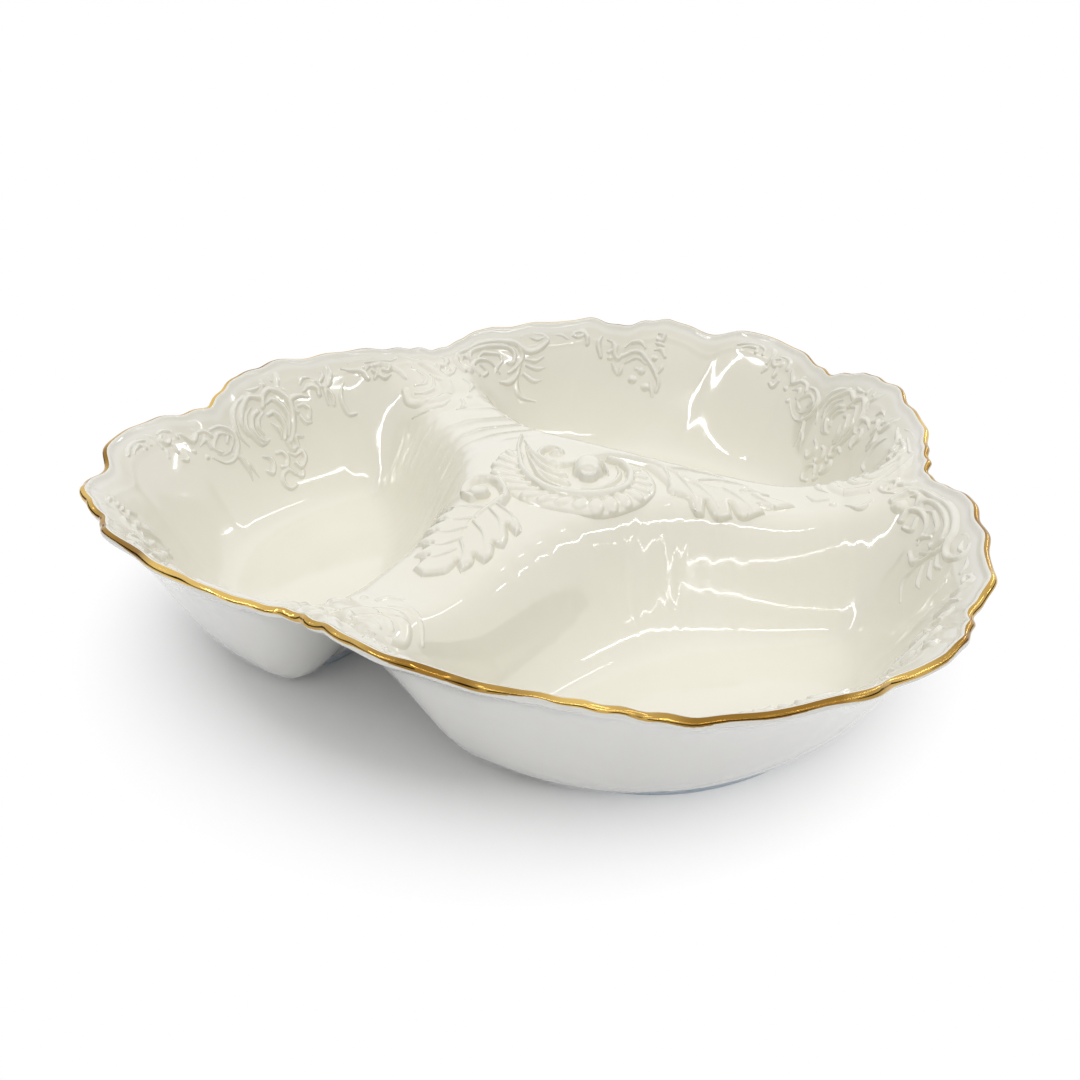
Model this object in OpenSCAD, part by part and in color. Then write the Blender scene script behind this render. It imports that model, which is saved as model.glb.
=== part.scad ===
// Three-part serving bowl of glazed porcelain with a scalloped gilt rim.
// Three equal lobes meet in a Y of broad ridges that carries relief ornament.
// All sizes are millimetres, +Z is up and the feet stand on z = 0.

/* [Rim] */
// Mean distance of the rim from the point where the three ridges meet
rim_radius = 143.5; // [110:0.5:180]
// How far each lobe swells out of that mean and each notch draws in
lobe_swell = 11.6; // [4:0.1:20]
// Second wave of the lobe outline, which rounds the lobe's end
lobe_rounding = 1.9; // [0:0.1:5]
// Height of the rim above the table, averaged round the bowl
rim_height = 58.2; // [40:0.1:80]
// How far the rim drops in the middle of a lobe
rim_drop = 2.2; // [0:0.1:6]
// Second wave of the rim height
rim_ripple = 1.4; // [0:0.1:4]
// Largest reach of a scallop, outwards or inwards
scallop_reach = 6.2; // [0:0.1:12]
// Largest rise or fall of the rim at a scallop
scallop_lift = 1.3; // [0:0.1:4]
// How much of a scallop's reach the wall below it takes up, as a share
flute_share = 0.2; // [0:0.05:1]
// Distance from the rim over which the scallops fade into the wall
flute_reach = 28; // [10:1:45]
// Wall thickness at the lip
lip_thickness = 3.2; // [2:0.1:6]
// Outward slope of the wall just under the lip, as a tangent
lip_slope = 0.7; // [0.3:0.01:1.5]

/* [Bowls] */
// Height of the bowl floors above the table
floor_height = 8.2; // [6:0.1:14]
// Wall thickness of the body below the lip
wall_thickness = 4.4; // [3:0.1:7]
// Distance from the rim over which the wall comes down to the floor
wall_reach = 43; // [30:0.5:70]
// Fullness of the curve where the wall meets the floor
wall_fullness = 4; // [0:0.1:5]

/* [Ridges] */
// Height of the hub in the middle, where the three ridges meet
hub_height = 49; // [30:0.5:60]
// Lowest height of a ridge between the hub and the rim
ridge_height = 41; // [20:0.5:60]
// Distance from the middle where the ridge starts to sink
hub_start = 20; // [5:0.5:40]
// Distance from the middle where the ridge is lowest
ridge_low_at = 85; // [50:0.5:110]
// Distance from the rim where the ridge starts to rise to it
ridge_rise_reach = 55; // [20:0.5:70]
// Width of a ridge flank from its shoulder down to the floor
flank_width = 30; // [15:0.5:45]
// How far the hub spreads into the corners between the ridges
hub_spread = 34; // [8:0.5:44]
// Extra width of the shoulder on one side of each ridge, near the rim
shoulder_extra = 9; // [0:0.5:20]
// Distance from the middle where the extra shoulder starts
shoulder_start = 35; // [20:1:90]
// Length over which the extra shoulder comes in
shoulder_run = 50; // [20:1:80]

/* [Feet] */
// Distance from the middle to the centre of each foot ring
foot_place = 81; // [60:0.5:100]
// Length of a foot ring, across its lobe
foot_length = 99; // [60:0.5:130]
// Reach of a foot ring from its centre towards the rim
foot_reach_out = 36; // [20:0.5:50]
// Reach of a foot ring from its centre towards the middle
foot_reach_in = 23; // [15:0.5:50]
// Thickness of the foot ring's wall
foot_wall = 4; // [2:0.1:8]
// Width of the flat that the underside keeps around a foot ring
foot_seat_margin = 2.5; // [1:0.1:5]
// Steepness of the underside where it leaves that flat
foot_seat_rise = 3; // [1:0.1:6]

/* [Gilding] */
// Thickness of the gilt skin on the lip
gilt_thickness = 0.3; // [0.2:0.05:1]
// Width of the gilt band down the outside of the lip
gilt_band = 3.2; // [1:0.1:8]

/* [Relief] */
// Clearance under an applied ornament, filled by slip on the real bowl
luting_gap = 0.15; // [0.05:0.01:0.3]
// Thinnest edge of an applied ornament
relief_edge = 0.4; // [0.2:0.05:1]
// Rise of the central scroll at its crests
scroll_rise = 2.6; // [1:0.1:4]
// Rise of the boss in the eye of the central scroll
boss_rise = 4; // [1:0.1:6]
// Radius of that boss
boss_radius = 6.5; // [3:0.1:10]
// Reach of the central scroll from its eye
scroll_reach = 29; // [18:0.5:40]
// Place of the eye of the central scroll, right of the middle
eye_right = 11; // [-10:0.5:20]
// Place of that eye, behind the middle
eye_behind = -4.5; // [-10:0.5:20]
// Rise of the leaves at the midrib
leaf_rise = 1.9; // [0.5:0.1:4]
// Length of the leaf that lies along the right ridge
right_leaf_length = 44; // [30:0.5:70]
// Width of that leaf
right_leaf_width = 21; // [8:0.5:30]
// Distance from the middle to the foot of that leaf
right_leaf_start = 35.5; // [20:0.5:60]
// Length of the leaf that lies along the front ridge
left_leaf_length = 42; // [30:0.5:70]
// Width of that leaf
left_leaf_width = 27; // [8:0.5:36]
// Distance from the middle to the foot of that leaf
left_leaf_start = 28; // [20:0.5:60]
// Rise of the ornaments under the rim
rim_relief_rise = 1.3; // [0.4:0.1:3]
// Width of the oval cartouche in each bowl, along the rim
cartouche_width = 26; // [12:0.5:40]
// Depth of that cartouche in plan, from the rim inwards
cartouche_depth = 18; // [10:0.5:34]
// Distance of its middle from the rim
cartouche_inset = 15; // [10:0.5:30]
// Place of that cartouche along its lobe, in degrees from the notch
cartouche_turn = 30; // [15:0.5:50]
// Width of the beaded cartouche in each bowl, along the rim
beaded_width = 24; // [12:0.5:40]
// Depth of that cartouche in plan, from the rim inwards
beaded_depth = 15; // [10:0.5:34]
// Distance of its middle from the rim
beaded_inset = 13; // [8:0.5:30]
// Place of that cartouche along its lobe, in degrees from the notch
beaded_turn = 77; // [60:0.5:95]
// Radius of the crescent scroll at each rim notch
crescent_radius = 11; // [6:0.5:18]
// Width of that crescent's stroke
crescent_width = 7; // [3:0.5:12]
// Distance of its middle from the rim
crescent_inset = 18; // [12:0.5:40]
// Place of that crescent beside the ridge line, in degrees towards the bowl on its right
crescent_turn = 4; // [0:0.5:20]
// Direction of the crescent's first end, in degrees from the outward line
crescent_start = 60; // [0:5:180]
// How far the crescent sweeps round
crescent_sweep = 250; // [120:5:330]

/* [Hidden] */

lobes = 3;
lobe_turn = 360 / lobes;
half_lobe = lobe_turn / 2;

// Steps of the mesh
columns = 132;
inside_rows = 17;
outside_rows = 14;
lip_steps = 4;
thickening_rows = 4;
row_crowding = 0.9;
leaf_steps = 22;
leaf_halves = 4;
scroll_spokes = 60;
scroll_rings = 9;
cartouche_spokes = 32;
cartouche_rings = 6;
crescent_steps = 26;
crescent_halves = 3;
foot_sides = 80;

// Colours of the glaze, the fired gold and the unglazed foot
glaze_colour = [0.91, 0.89, 0.83];
gilt_colour = [0.83, 0.62, 0.22];
foot_colour = [0.82, 0.87, 0.92];

// Reach and rise of the rim at even steps along a lobe, in shares
scallop_reach_share = [-0.55, -0.35, 0, 0.1, 0.05, -0.1, 0.2, -0.1, -0.15, -0.5,
                       -0.85, -0.35, 0.1, 0.45, 0.55, 0.65, 0.1, 0.5, 0.65, 0.25,
                       -0.2, 0.1, -0.05, -0.3, -0.1, -0.25, 0, -0.15, -0.6, -0.9];
scallop_lift_share = [0.4, 0.4, -0.05, -0.5, -0.1, -0.3, 0, 0.5, 0.7, 0.5,
                      0.2, -0.8, -0.1, 0.5, 1, 0.6, -0.2, -0.5, 0.3, 0.3,
                      -0.3, 0, 0.3, 0.1, -0.3, -0.4, -0.4, -0.5, -0.6, 0];

// Edge of the central scroll as shares of its reach, every 30 degrees round the eye
scroll_edge_share = [0.77, 0.79, 0.72, 0.7, 1.28, 1.32, 1.12, 1, 0.97, 0.85, 0.74, 0.75];
fringe_tongues = 22;
fringe_depth_share = 0.06;
fringe_depth = fringe_depth_share * scroll_reach;
fringe_rise_share = 0.62;
fold_share = 0.3;

// The spiral arm round the boss: where it starts and its half width, in boss radii
arm_start_share = 1.45;
arm_half_share = 0.4;

// Teeth and veins of the leaves
leaf_teeth = 7;
tooth_share = 0.2;
vein_share = 0.35;
leaf_bend_share = 0.1;
leaf_base_share = 0.03;
leaf_tip_share = 0.97;
leaf_widest_power = 0.8;
leaf_round_power = 0.75;

lip_angle = atan(lip_slope);
lip_inset = lip_thickness / 2 * (sin(lip_angle) + cos(lip_angle));
seat_height = floor_height - wall_thickness;
band_share = 0.5;
probe = wall_thickness / 100;
bead_count = 8;
bead_share = 0.06;
frame_share = 0.45;
crescent_end_share = 0.35;

function ease(t) = let (c = min(max(t, 0), 1)) c * c * (3 - 2 * c);
function ease_out(t) = let (c = min(max(t, 0), 1)) 1 - c * c * c * (10 - 15 * c + 6 * c * c);
function unit(v) = v / norm(v);
function along(angle) = [cos(angle), sin(angle)];
function wrapped(angle) = angle - lobe_turn * floor(angle / lobe_turn);

// Outline of the rim without its scallops, and its change per radian
function smooth_rim(angle) =
    rim_radius - lobe_swell * cos(lobes * angle) - lobe_rounding * cos(2 * lobes * angle);
function smooth_rim_change(angle) =
    lobes * (lobe_swell * sin(lobes * angle) + 2 * lobe_rounding * sin(2 * lobes * angle));
function rim_top(angle) =
    rim_height + rim_drop * cos(lobes * angle) - rim_ripple * cos(2 * lobes * angle);

// A smooth curve through the shares of a list, over one turn of the list
function eased_share(shares, place) =
    let (
        count = len(shares),
        k = floor(place * count),
        t = place * count - k,
        before = shares[(k + count - 1) % count],
        now = shares[k % count],
        next = shares[(k + 1) % count],
        after = shares[(k + 2) % count]
    )
    now + t / 2 * (next - before
        + t * (2 * before - 5 * now + 4 * next - after
            + t * (3 * (now - next) + after - before)));
function scallop(angle) =
    scallop_reach * eased_share(scallop_reach_share, wrapped(angle) / lobe_turn);
function lip_lift(angle) =
    scallop_lift * eased_share(scallop_lift_share, wrapped(angle) / lobe_turn);
function lip_edge(angle) = smooth_rim(angle) + scallop(angle);

// Height of the inside at a place in plan. A bowl profile follows the distance
// from the rim, a ridge profile the distance from the middle, and the distance
// from the ridge lines fades one into the other.
function inside_height(x, y) =
    let (
        angle = atan2(y, x),
        r = norm([x, y]),
        edge = smooth_rim(angle),
        inside = (edge - r) * edge / norm([edge, smooth_rim_change(angle)]),
        fade = 1 - ease(inside / flute_reach),
        inset = inside + flute_share * scallop(angle) * fade,
        top = rim_top(angle),
        rise = top - floor_height,
        t = min(max(inset / wall_reach, 0), 1),
        fall = wall_reach * lip_slope / rise,
        wall = pow(1 - t, 3) * (1 + (3 - fall) * t + wall_fullness * t * t),
        bowl = inset < 0 ? top - inset * lip_slope : floor_height + rise * wall,
        low = ridge_height + (hub_height - ridge_height)
            * (1 - ease((r - hub_start) / (ridge_low_at - hub_start))),
        lift = max(1 - inset / ridge_rise_reach, 0),
        ridge = inset < 0 ? top - inset * lip_slope : low + (top - low) * lift * lift,
        local = wrapped(angle) - half_lobe,
        end_side = r * sin(half_lobe - local)
            - shoulder_extra * ease((r - shoulder_start) / shoulder_run),
        start_side = r * sin(half_lobe + local),
        apart = -hub_spread * ln(exp(-end_side / hub_spread) + exp(-start_side / hub_spread)),
        u = min(max(apart / flank_width, 0), 1),
        share = (pow(cos(90 * u), 2) + ease_out(u)) / 2
    )
    bowl + (ridge - bowl) * share + lip_lift(angle) * fade;

function inside_point(p) = [p.x, p.y, inside_height(p.x, p.y)];
function inside_normal(p) =
    unit([inside_height(p.x - probe, p.y) - inside_height(p.x + probe, p.y),
          inside_height(p.x, p.y - probe) - inside_height(p.x, p.y + probe),
          2 * probe]);
function raised(p, h) = inside_point(p) + inside_normal(p) * h;

// Where a point lies in the foot's oval: below 1 is inside it
function foot_reach(ahead) = ahead > 0 ? foot_reach_out : foot_reach_in;
function foot_share(p, margin) =
    let (
        r = norm([p.x, p.y]),
        local = wrapped(atan2(p.y, p.x)) - half_lobe,
        ahead = r * cos(local) - foot_place
    )
    norm([ahead / (foot_reach(ahead) + margin),
          r * sin(local) / (foot_length / 2 + margin)]);

// The underside stays flat where a foot ring is luted on
function seated(p) =
    let (
        share = foot_share(p, foot_seat_margin),
        beyond = max(share - 1, 0) * foot_reach_in * foot_seat_rise
    )
    [p.x, p.y, max(seat_height, min(p.z, seat_height + beyond))];

// Rows of the inside from the lip to the middle: two at the band, the rest shared out
function row_radius(angle, row) =
    let (edge = lip_edge(angle) - lip_inset)
    row < 3 ? edge - row * gilt_band * band_share
            : (edge - 2 * gilt_band * band_share)
              * pow((inside_rows + 1 - row) / (inside_rows - 1), row_crowding);

function row_thickness(row) =
    lip_thickness + (wall_thickness - lip_thickness) * ease((row - 1) / thickening_rows);

column_angles = [for (c = [0 : columns - 1]) 360 * c / columns];
inside_places = [for (a = column_angles)
    [for (row = [0 : inside_rows]) row_radius(a, row) * along(a)]];
inside_points = [for (line = inside_places) [for (p = line) inside_point(p)]];
inside_normals = [for (line = inside_places) [for (p = line) inside_normal(p)]];

// The lip is half round: its points turn from the inside's edge to the outside's
function lip_point(c, turn, grow) =
    let (
        n = inside_normals[c][0],
        out = [cos(column_angles[c]), sin(column_angles[c]), 0],
        side = unit(out - n * (out * n)),
        middle = inside_points[c][0] - n * lip_thickness / 2,
        radius = lip_thickness / 2 + grow
    )
    middle + n * radius * cos(turn) + side * radius * sin(turn);

function outside_point(c, row) =
    seated(inside_points[c][row] - inside_normals[c][row] * row_thickness(row));

outside_picks = [0, 1, 2, for (k = [1 : outside_rows - 2])
    round(2 + k * (inside_rows - 2) / (outside_rows - 2))];

function body_section(c) = concat(
    [for (row = [inside_rows : -1 : 0]) inside_points[c][row]],
    [for (k = [1 : lip_steps - 1]) lip_point(c, 180 * k / lip_steps, 0)],
    [for (row = outside_picks) outside_point(c, row)]);

// Gilt band: the same points as the body's lip, and the same points lifted off it
gilt_turns = [for (k = [lip_steps / 2 : lip_steps - 1]) 180 * k / lip_steps];
gilt_rows = [0, 1, 2];
function gilt_section(c) = concat(
    [for (turn = gilt_turns) lip_point(c, turn, 0)],
    [for (row = gilt_rows) outside_point(c, row)],
    [for (row = [2 : -1 : 0])
        outside_point(c, row) - inside_normals[c][row] * gilt_thickness],
    [for (k = [len(gilt_turns) - 1 : -1 : 0]) lip_point(c, gilt_turns[k], gilt_thickness)]);

body_sections = [for (c = [0 : columns - 1]) body_section(c)];
gilt_sections = [for (c = [0 : columns - 1]) gilt_section(c)];
gilt_x = [for (s = gilt_sections) for (p = s) p.x];
gilt_y = [for (s = gilt_sections) for (p = s) p.y];
to_origin = [-(min(gilt_x) + max(gilt_x)) / 2, -(min(gilt_y) + max(gilt_y)) / 2, 0];

// Solid from sections round the middle, closed by one point above and one below
module turned_body(sections, above, below) {
    rows = len(sections[0]);
    count = len(sections);
    points = concat([for (s = sections) for (p = s) p], [above, below]);
    polyhedron(points, concat(
        [for (c = [0 : count - 1]) for (k = [0 : rows - 2]) for (half = [0, 1])
            let (d = (c + 1) % count, a = c * rows + k, b = d * rows + k)
            half == 0 ? [a, b, a + 1] : [b, b + 1, a + 1]],
        [for (c = [0 : count - 1])
            [c * rows, count * rows, (c + 1) % count * rows]],
        [for (c = [0 : count - 1])
            [c * rows + rows - 1, (c + 1) % count * rows + rows - 1, count * rows + 1]]));
}

// Solid from closed sections that follow each other in a ring
module ring_of(sections) {
    rows = len(sections[0]);
    count = len(sections);
    polyhedron([for (s = sections) for (p = s) p],
        [for (c = [0 : count - 1]) for (k = [0 : rows - 1]) for (half = [0, 1])
            let (d = (c + 1) % count, e = (k + 1) % rows)
            half == 0 ? [c * rows + k, d * rows + k, c * rows + e]
                      : [d * rows + k, d * rows + e, c * rows + e]]);
}

// Applied ornament: a grid of places in plan and its rise, laid on the inside
module laid_sheet(places, rises) {
    lines = len(places);
    width = len(places[0]);
    top = [for (i = [0 : lines - 1]) for (j = [0 : width - 1])
        raised(places[i][j], luting_gap + rises[i][j])];
    under = [for (i = [0 : lines - 1]) for (j = [0 : width - 1])
        raised(places[i][j], luting_gap)];
    total = lines * width;
    edge = concat([for (j = [0 : width - 2]) j],
                  [for (i = [0 : lines - 2]) i * width + width - 1],
                  [for (j = [width - 1 : -1 : 1]) (lines - 1) * width + j],
                  [for (i = [lines - 1 : -1 : 1]) i * width]);
    polyhedron(concat(top, under), concat(
        [for (i = [0 : lines - 2]) for (j = [0 : width - 2]) for (half = [0, 1])
            let (a = i * width + j)
            half == 0 ? [a, a + 1, a + width] : [a + 1, a + width + 1, a + width]],
        [for (i = [0 : lines - 2]) for (j = [0 : width - 2]) for (half = [0, 1])
            let (a = total + i * width + j)
            half == 0 ? [a, a + width, a + 1] : [a + 1, a + width, a + width + 1]],
        [for (k = [0 : len(edge) - 1]) for (half = [0, 1])
            let (a = edge[k], b = edge[(k + 1) % len(edge)])
            half == 0 ? [a, total + a, b] : [b, total + a, total + b]]));
}

// Applied ornament on spokes round a middle point
module laid_disc(middle, middle_rise, places, rises) {
    spokes = len(places);
    rings = len(places[0]);
    count = spokes * rings;
    top = concat([for (s = [0 : spokes - 1]) for (k = [0 : rings - 1])
            raised(places[s][k], luting_gap + rises[s][k])],
        [raised(middle, luting_gap + middle_rise)]);
    under = concat([for (s = [0 : spokes - 1]) for (k = [0 : rings - 1])
            raised(places[s][k], luting_gap)],
        [raised(middle, luting_gap)]);
    low = count + 1;
    polyhedron(concat(top, under), concat(
        [for (s = [0 : spokes - 1]) let (t = (s + 1) % spokes)
            [count, t * rings, s * rings]],
        [for (s = [0 : spokes - 1]) let (t = (s + 1) % spokes)
            [low + count, low + s * rings, low + t * rings]],
        [for (s = [0 : spokes - 1]) for (k = [0 : rings - 2]) for (half = [0, 1])
            let (t = (s + 1) % spokes, a = s * rings + k, b = t * rings + k)
            half == 0 ? [a, b, a + 1] : [b, b + 1, a + 1]],
        [for (s = [0 : spokes - 1]) for (k = [0 : rings - 2]) for (half = [0, 1])
            let (t = (s + 1) % spokes, a = low + s * rings + k, b = low + t * rings + k)
            half == 0 ? [a, a + 1, b] : [b, a + 1, b + 1]],
        [for (s = [0 : spokes - 1]) for (half = [0, 1])
            let (t = (s + 1) % spokes, a = s * rings + rings - 1, b = t * rings + rings - 1)
            half == 0 ? [a, b, low + a] : [b, low + b, low + a]]));
}

module bowl_body() {
    color(glaze_colour) translate(to_origin)
        turned_body(body_sections, [0, 0, inside_height(0, 0)],
                    [0, 0, inside_height(0, 0) - wall_thickness]);
}

module gilt_rim() {
    color(gilt_colour) translate(to_origin) ring_of(gilt_sections);
}

module foot_outline(inset) {
    polygon([for (k = [0 : foot_sides - 1]) let (a = 360 * k / foot_sides)
        [(foot_reach(cos(a)) - inset) * cos(a), (foot_length / 2 - inset) * sin(a)]]);
}

module foot_ring(turn) {
    color(foot_colour) translate(to_origin) rotate(turn) translate([foot_place, 0, 0])
        linear_extrude(seat_height) difference() {
            foot_outline(0);
            foot_outline(foot_wall);
        }
}

module foot_ring_right() { foot_ring(half_lobe); }
module foot_ring_left() { foot_ring(half_lobe + lobe_turn); }
module foot_ring_front() { foot_ring(half_lobe + 2 * lobe_turn); }

// Edge of the central scroll: an eased outline with small tongues all round
function scroll_edge(turn) =
    scroll_reach * eased_share(scroll_edge_share, turn / 360)
    - fringe_depth * (1 - abs(sin(turn * fringe_tongues / 2)));

// Rise of the central scroll: the boss, a spiral groove round it and the fringe
function scroll_height(turn, r, edge) =
    let (
        dome = boss_rise * sqrt(max(1 - pow(r / boss_radius, 2), 0)),
        arm = boss_radius * (arm_start_share + turn / 360),
        arm_half = boss_radius * arm_half_share,
        rope = scroll_rise * sqrt(max(1 - pow((r - arm) / arm_half, 2), 0)),
        fringe_middle = (arm + arm_half + edge) / 2,
        fringe_half = (edge - arm - arm_half) / 2,
        fold = 1 - fold_share + fold_share * abs(sin(turn * fringe_tongues / 2)),
        fringe = scroll_rise * fringe_rise_share * fold
            * sqrt(max(1 - pow((r - fringe_middle) / max(fringe_half, probe), 2), 0))
    )
    relief_edge + max(dome, rope, fringe);

module centre_scroll() {
    eye = [eye_right, eye_behind];
    turns = [for (s = [0 : scroll_spokes - 1]) 360 * s / scroll_spokes];
    places = [for (turn = turns) [for (k = [1 : scroll_rings])
        eye + along(turn) * scroll_edge(turn) * k / scroll_rings]];
    rises = [for (turn = turns) [for (k = [1 : scroll_rings])
        scroll_height(turn, scroll_edge(turn) * k / scroll_rings, scroll_edge(turn))]];
    color(glaze_colour) translate(to_origin)
        laid_disc(eye, relief_edge + boss_rise, places, rises);
}

// Leaf outline: half width along the midrib, with teeth that point to the tip
function leaf_half(t, width) =
    let (tooth = leaf_teeth * t - floor(leaf_teeth * t))
    width / 2
        * pow(sin(180 * pow(leaf_base_share + (leaf_tip_share - leaf_base_share) * t,
                            leaf_widest_power)), leaf_round_power)
        * (1 - tooth_share + tooth_share * tooth);

module laid_leaf(base, heading, length, width, bend) {
    ts = [for (i = [0 : leaf_steps]) i / leaf_steps];
    sides = [for (j = [-leaf_halves : leaf_halves]) j / leaf_halves];
    ahead = along(heading);
    aside = along(heading + 90);
    places = [for (t = ts) [for (s = sides)
        base + ahead * (length * t + abs(s) * width * leaf_bend_share)
             + aside * (bend * length * leaf_bend_share * sin(180 * t)
                        + s * leaf_half(t, width))]];
    rises = [for (t = ts) [for (s = sides)
        relief_edge + (leaf_rise - relief_edge) * (1 - s * s)
            * (1 - vein_share * pow(cos(180 * (leaf_teeth * t - abs(s))), 2))]];
    color(glaze_colour) translate(to_origin) laid_sheet(places, rises);
}

// Each leaf starts beside the central scroll and lies along its ridge
module leaf_right() {
    laid_leaf([right_leaf_start, 0], 0, right_leaf_length, right_leaf_width, -1);
}

module leaf_front() {
    laid_leaf(along(2 * lobe_turn) * left_leaf_start, 2 * lobe_turn,
              left_leaf_length, left_leaf_width, 1);
}

// Cartouche: an oval with a wavy frame round a low boss, on the wall under the rim
module cartouche(turn, width, depth, inset) {
    middle = along(turn) * (smooth_rim(turn) - inset);
    turns = [for (s = [0 : cartouche_spokes - 1]) 360 * s / cartouche_spokes];
    places = [for (a = turns) [for (k = [1 : cartouche_rings])
        middle + (along(turn + 90) * width * cos(a) + along(turn) * depth * sin(a)) / 2
            * (1 + bead_share * cos(bead_count * a)) * k / cartouche_rings]];
    rises = [for (a = turns) [for (k = [1 : cartouche_rings])
        let (share = k / cartouche_rings)
        relief_edge + rim_relief_rise
            * (share > frame_share ? sin(180 * (share - frame_share) / (1 - frame_share))
                                   : frame_share * cos(90 * share / frame_share))]];
    color(glaze_colour) translate(to_origin)
        laid_disc(middle, relief_edge + rim_relief_rise * frame_share, places, rises);
}

module oval_cartouche(lobe) {
    cartouche(lobe * lobe_turn + cartouche_turn, cartouche_width, cartouche_depth,
              cartouche_inset);
}

module beaded_cartouche(lobe) {
    cartouche(lobe * lobe_turn + beaded_turn, beaded_width, beaded_depth, beaded_inset);
}

module cartouche_right() { oval_cartouche(0); }
module cartouche_left() { oval_cartouche(1); }
module cartouche_front() { oval_cartouche(2); }
module beaded_right() { beaded_cartouche(0); }
module beaded_left() { beaded_cartouche(1); }
module beaded_front() { beaded_cartouche(2); }

// Crescent: a C-shaped stroke that tapers to both ends
function tapered(t) = crescent_end_share + (1 - crescent_end_share) * sin(180 * t);
module crescent(turn) {
    middle = along(turn) * (smooth_rim(turn) - crescent_inset);
    ts = [for (i = [0 : crescent_steps]) i / crescent_steps];
    sides = [for (j = [-crescent_halves : crescent_halves]) j / crescent_halves];
    places = [for (t = ts) [for (s = sides)
        middle + along(turn + crescent_start + crescent_sweep * t)
            * (crescent_radius - s * crescent_width / 2 * tapered(t))]];
    rises = [for (t = ts) [for (s = sides)
        relief_edge + rim_relief_rise * (1 - s * s) * tapered(t)]];
    color(glaze_colour) translate(to_origin) laid_sheet(places, rises);
}

module crescent_right() { crescent(-crescent_turn); }
module crescent_back() { crescent(lobe_turn - crescent_turn); }
module crescent_front() { crescent(2 * lobe_turn - crescent_turn); }

bowl_body();
gilt_rim();
foot_ring_right();
foot_ring_left();
foot_ring_front();
centre_scroll();
leaf_right();
leaf_front();
cartouche_right();
cartouche_left();
cartouche_front();
beaded_right();
beaded_left();
beaded_front();
crescent_right();
crescent_back();
crescent_front();
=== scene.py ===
# %% [markdown]
# # A divided serving bowl in glazed porcelain
# The bowl has three wells parted by a Y of broad ridges, a scalloped lip with a
# gold band, and moulded ornament: a scroll and two leaves in the middle, scrolls
# at the three notches and small cartouches along the rim. The CAD part is loaded
# first, because every piece below has to lie where its CAD twin lies.

# %% Load the part
import bpy
import numpy as np
from mathutils import Matrix, Vector


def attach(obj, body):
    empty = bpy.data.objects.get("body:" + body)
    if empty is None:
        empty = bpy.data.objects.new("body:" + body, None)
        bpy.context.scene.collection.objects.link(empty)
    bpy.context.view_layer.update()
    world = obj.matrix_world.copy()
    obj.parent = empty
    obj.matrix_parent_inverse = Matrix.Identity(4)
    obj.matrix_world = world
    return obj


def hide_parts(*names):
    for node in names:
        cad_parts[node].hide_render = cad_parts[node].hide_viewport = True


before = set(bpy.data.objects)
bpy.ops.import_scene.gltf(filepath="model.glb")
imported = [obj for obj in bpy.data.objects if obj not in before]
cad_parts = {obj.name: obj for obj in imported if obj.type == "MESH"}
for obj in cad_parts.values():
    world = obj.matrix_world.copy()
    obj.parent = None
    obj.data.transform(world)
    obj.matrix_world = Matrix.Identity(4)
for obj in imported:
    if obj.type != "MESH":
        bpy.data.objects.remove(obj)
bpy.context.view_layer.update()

scene = bpy.context.scene
scene.view_settings.view_transform = "Standard"

# %% [markdown]
# ## The hub
# All shapes are worked out in millimetres from the hub, where the ridges meet.
# The three foot rings lie evenly round it, so the middle of their corners is the
# hub. Moving points there is one addition, which keeps the formulas short.

# %% Find the hub from the foot rings
def corners(node):
    """Vertices of a CAD node in metres, one row each."""
    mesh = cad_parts[node].data
    flat = np.empty(len(mesh.vertices) * 3, np.float32)
    mesh.vertices.foreach_get("co", flat)
    return flat.reshape(-1, 3).astype(float)


FEET = ("foot_ring_right", "foot_ring_left", "foot_ring_front")
hub = np.mean([np.unique(corners(n).round(6), axis=0).mean(0) for n in FEET], axis=0)
hub[2] = 0.0
print("hub in metres", hub.round(5))

# %% [markdown]
# ## The rim line
# A caster would cut this outline in a template: a three-lobed curve with small scallops added. Two cosine
# waves give the lobes. The scallops are listed shares at even steps along one lobe, joined by a smooth curve
# and used three times.

# %% Rim outline
LOBE = np.radians(120)
REACH_SHARES = np.array([-0.55, -0.35, 0, 0.1, 0.05, -0.1, 0.2, -0.1, -0.15, -0.5,
                         -0.85, -0.35, 0.1, 0.45, 0.55, 0.65, 0.1, 0.5, 0.65, 0.25,
                         -0.2, 0.1, -0.05, -0.3, -0.1, -0.25, 0, -0.15, -0.6, -0.9])
LIFT_SHARES = np.array([0.4, 0.4, -0.05, -0.5, -0.1, -0.3, 0, 0.5, 0.7, 0.5,
                        0.2, -0.8, -0.1, 0.5, 1, 0.6, -0.2, -0.5, 0.3, 0.3,
                        -0.3, 0, 0.3, 0.1, -0.3, -0.4, -0.4, -0.5, -0.6, 0])
MEAN_RADIUS = 143.5
LOBE_WAVE = 11.6
ROUNDING_WAVE = 1.9
SCALLOP_REACH = 6.2
RUFFLE_REACH = 0.8


def ease(t):
    """Smooth step from 0 to 1: t squared times (3 - 2t)."""
    t = np.clip(t, 0, 1)
    return t * t * (3 - 2 * t)


def through(shares, angle):
    """Curve through the shares of a list, over one lobe (cubic between neighbours)."""
    count = len(shares)
    place = (angle % LOBE) / LOBE * count
    k = np.floor(place).astype(int) % count
    t = place - np.floor(place)
    a, b, c, d = (shares[(k + step) % count] for step in (-1, 0, 1, 2))
    return b + t / 2 * (c - a + t * (2 * a - 5 * b + 4 * c - d + t * (3 * (b - c) + d - a)))


def smooth_rim(angle):
    """Rim radius without scallops: mean, minus lobe wave, minus rounding wave."""
    return MEAN_RADIUS - LOBE_WAVE * np.cos(3 * angle) - ROUNDING_WAVE * np.cos(6 * angle)


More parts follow.
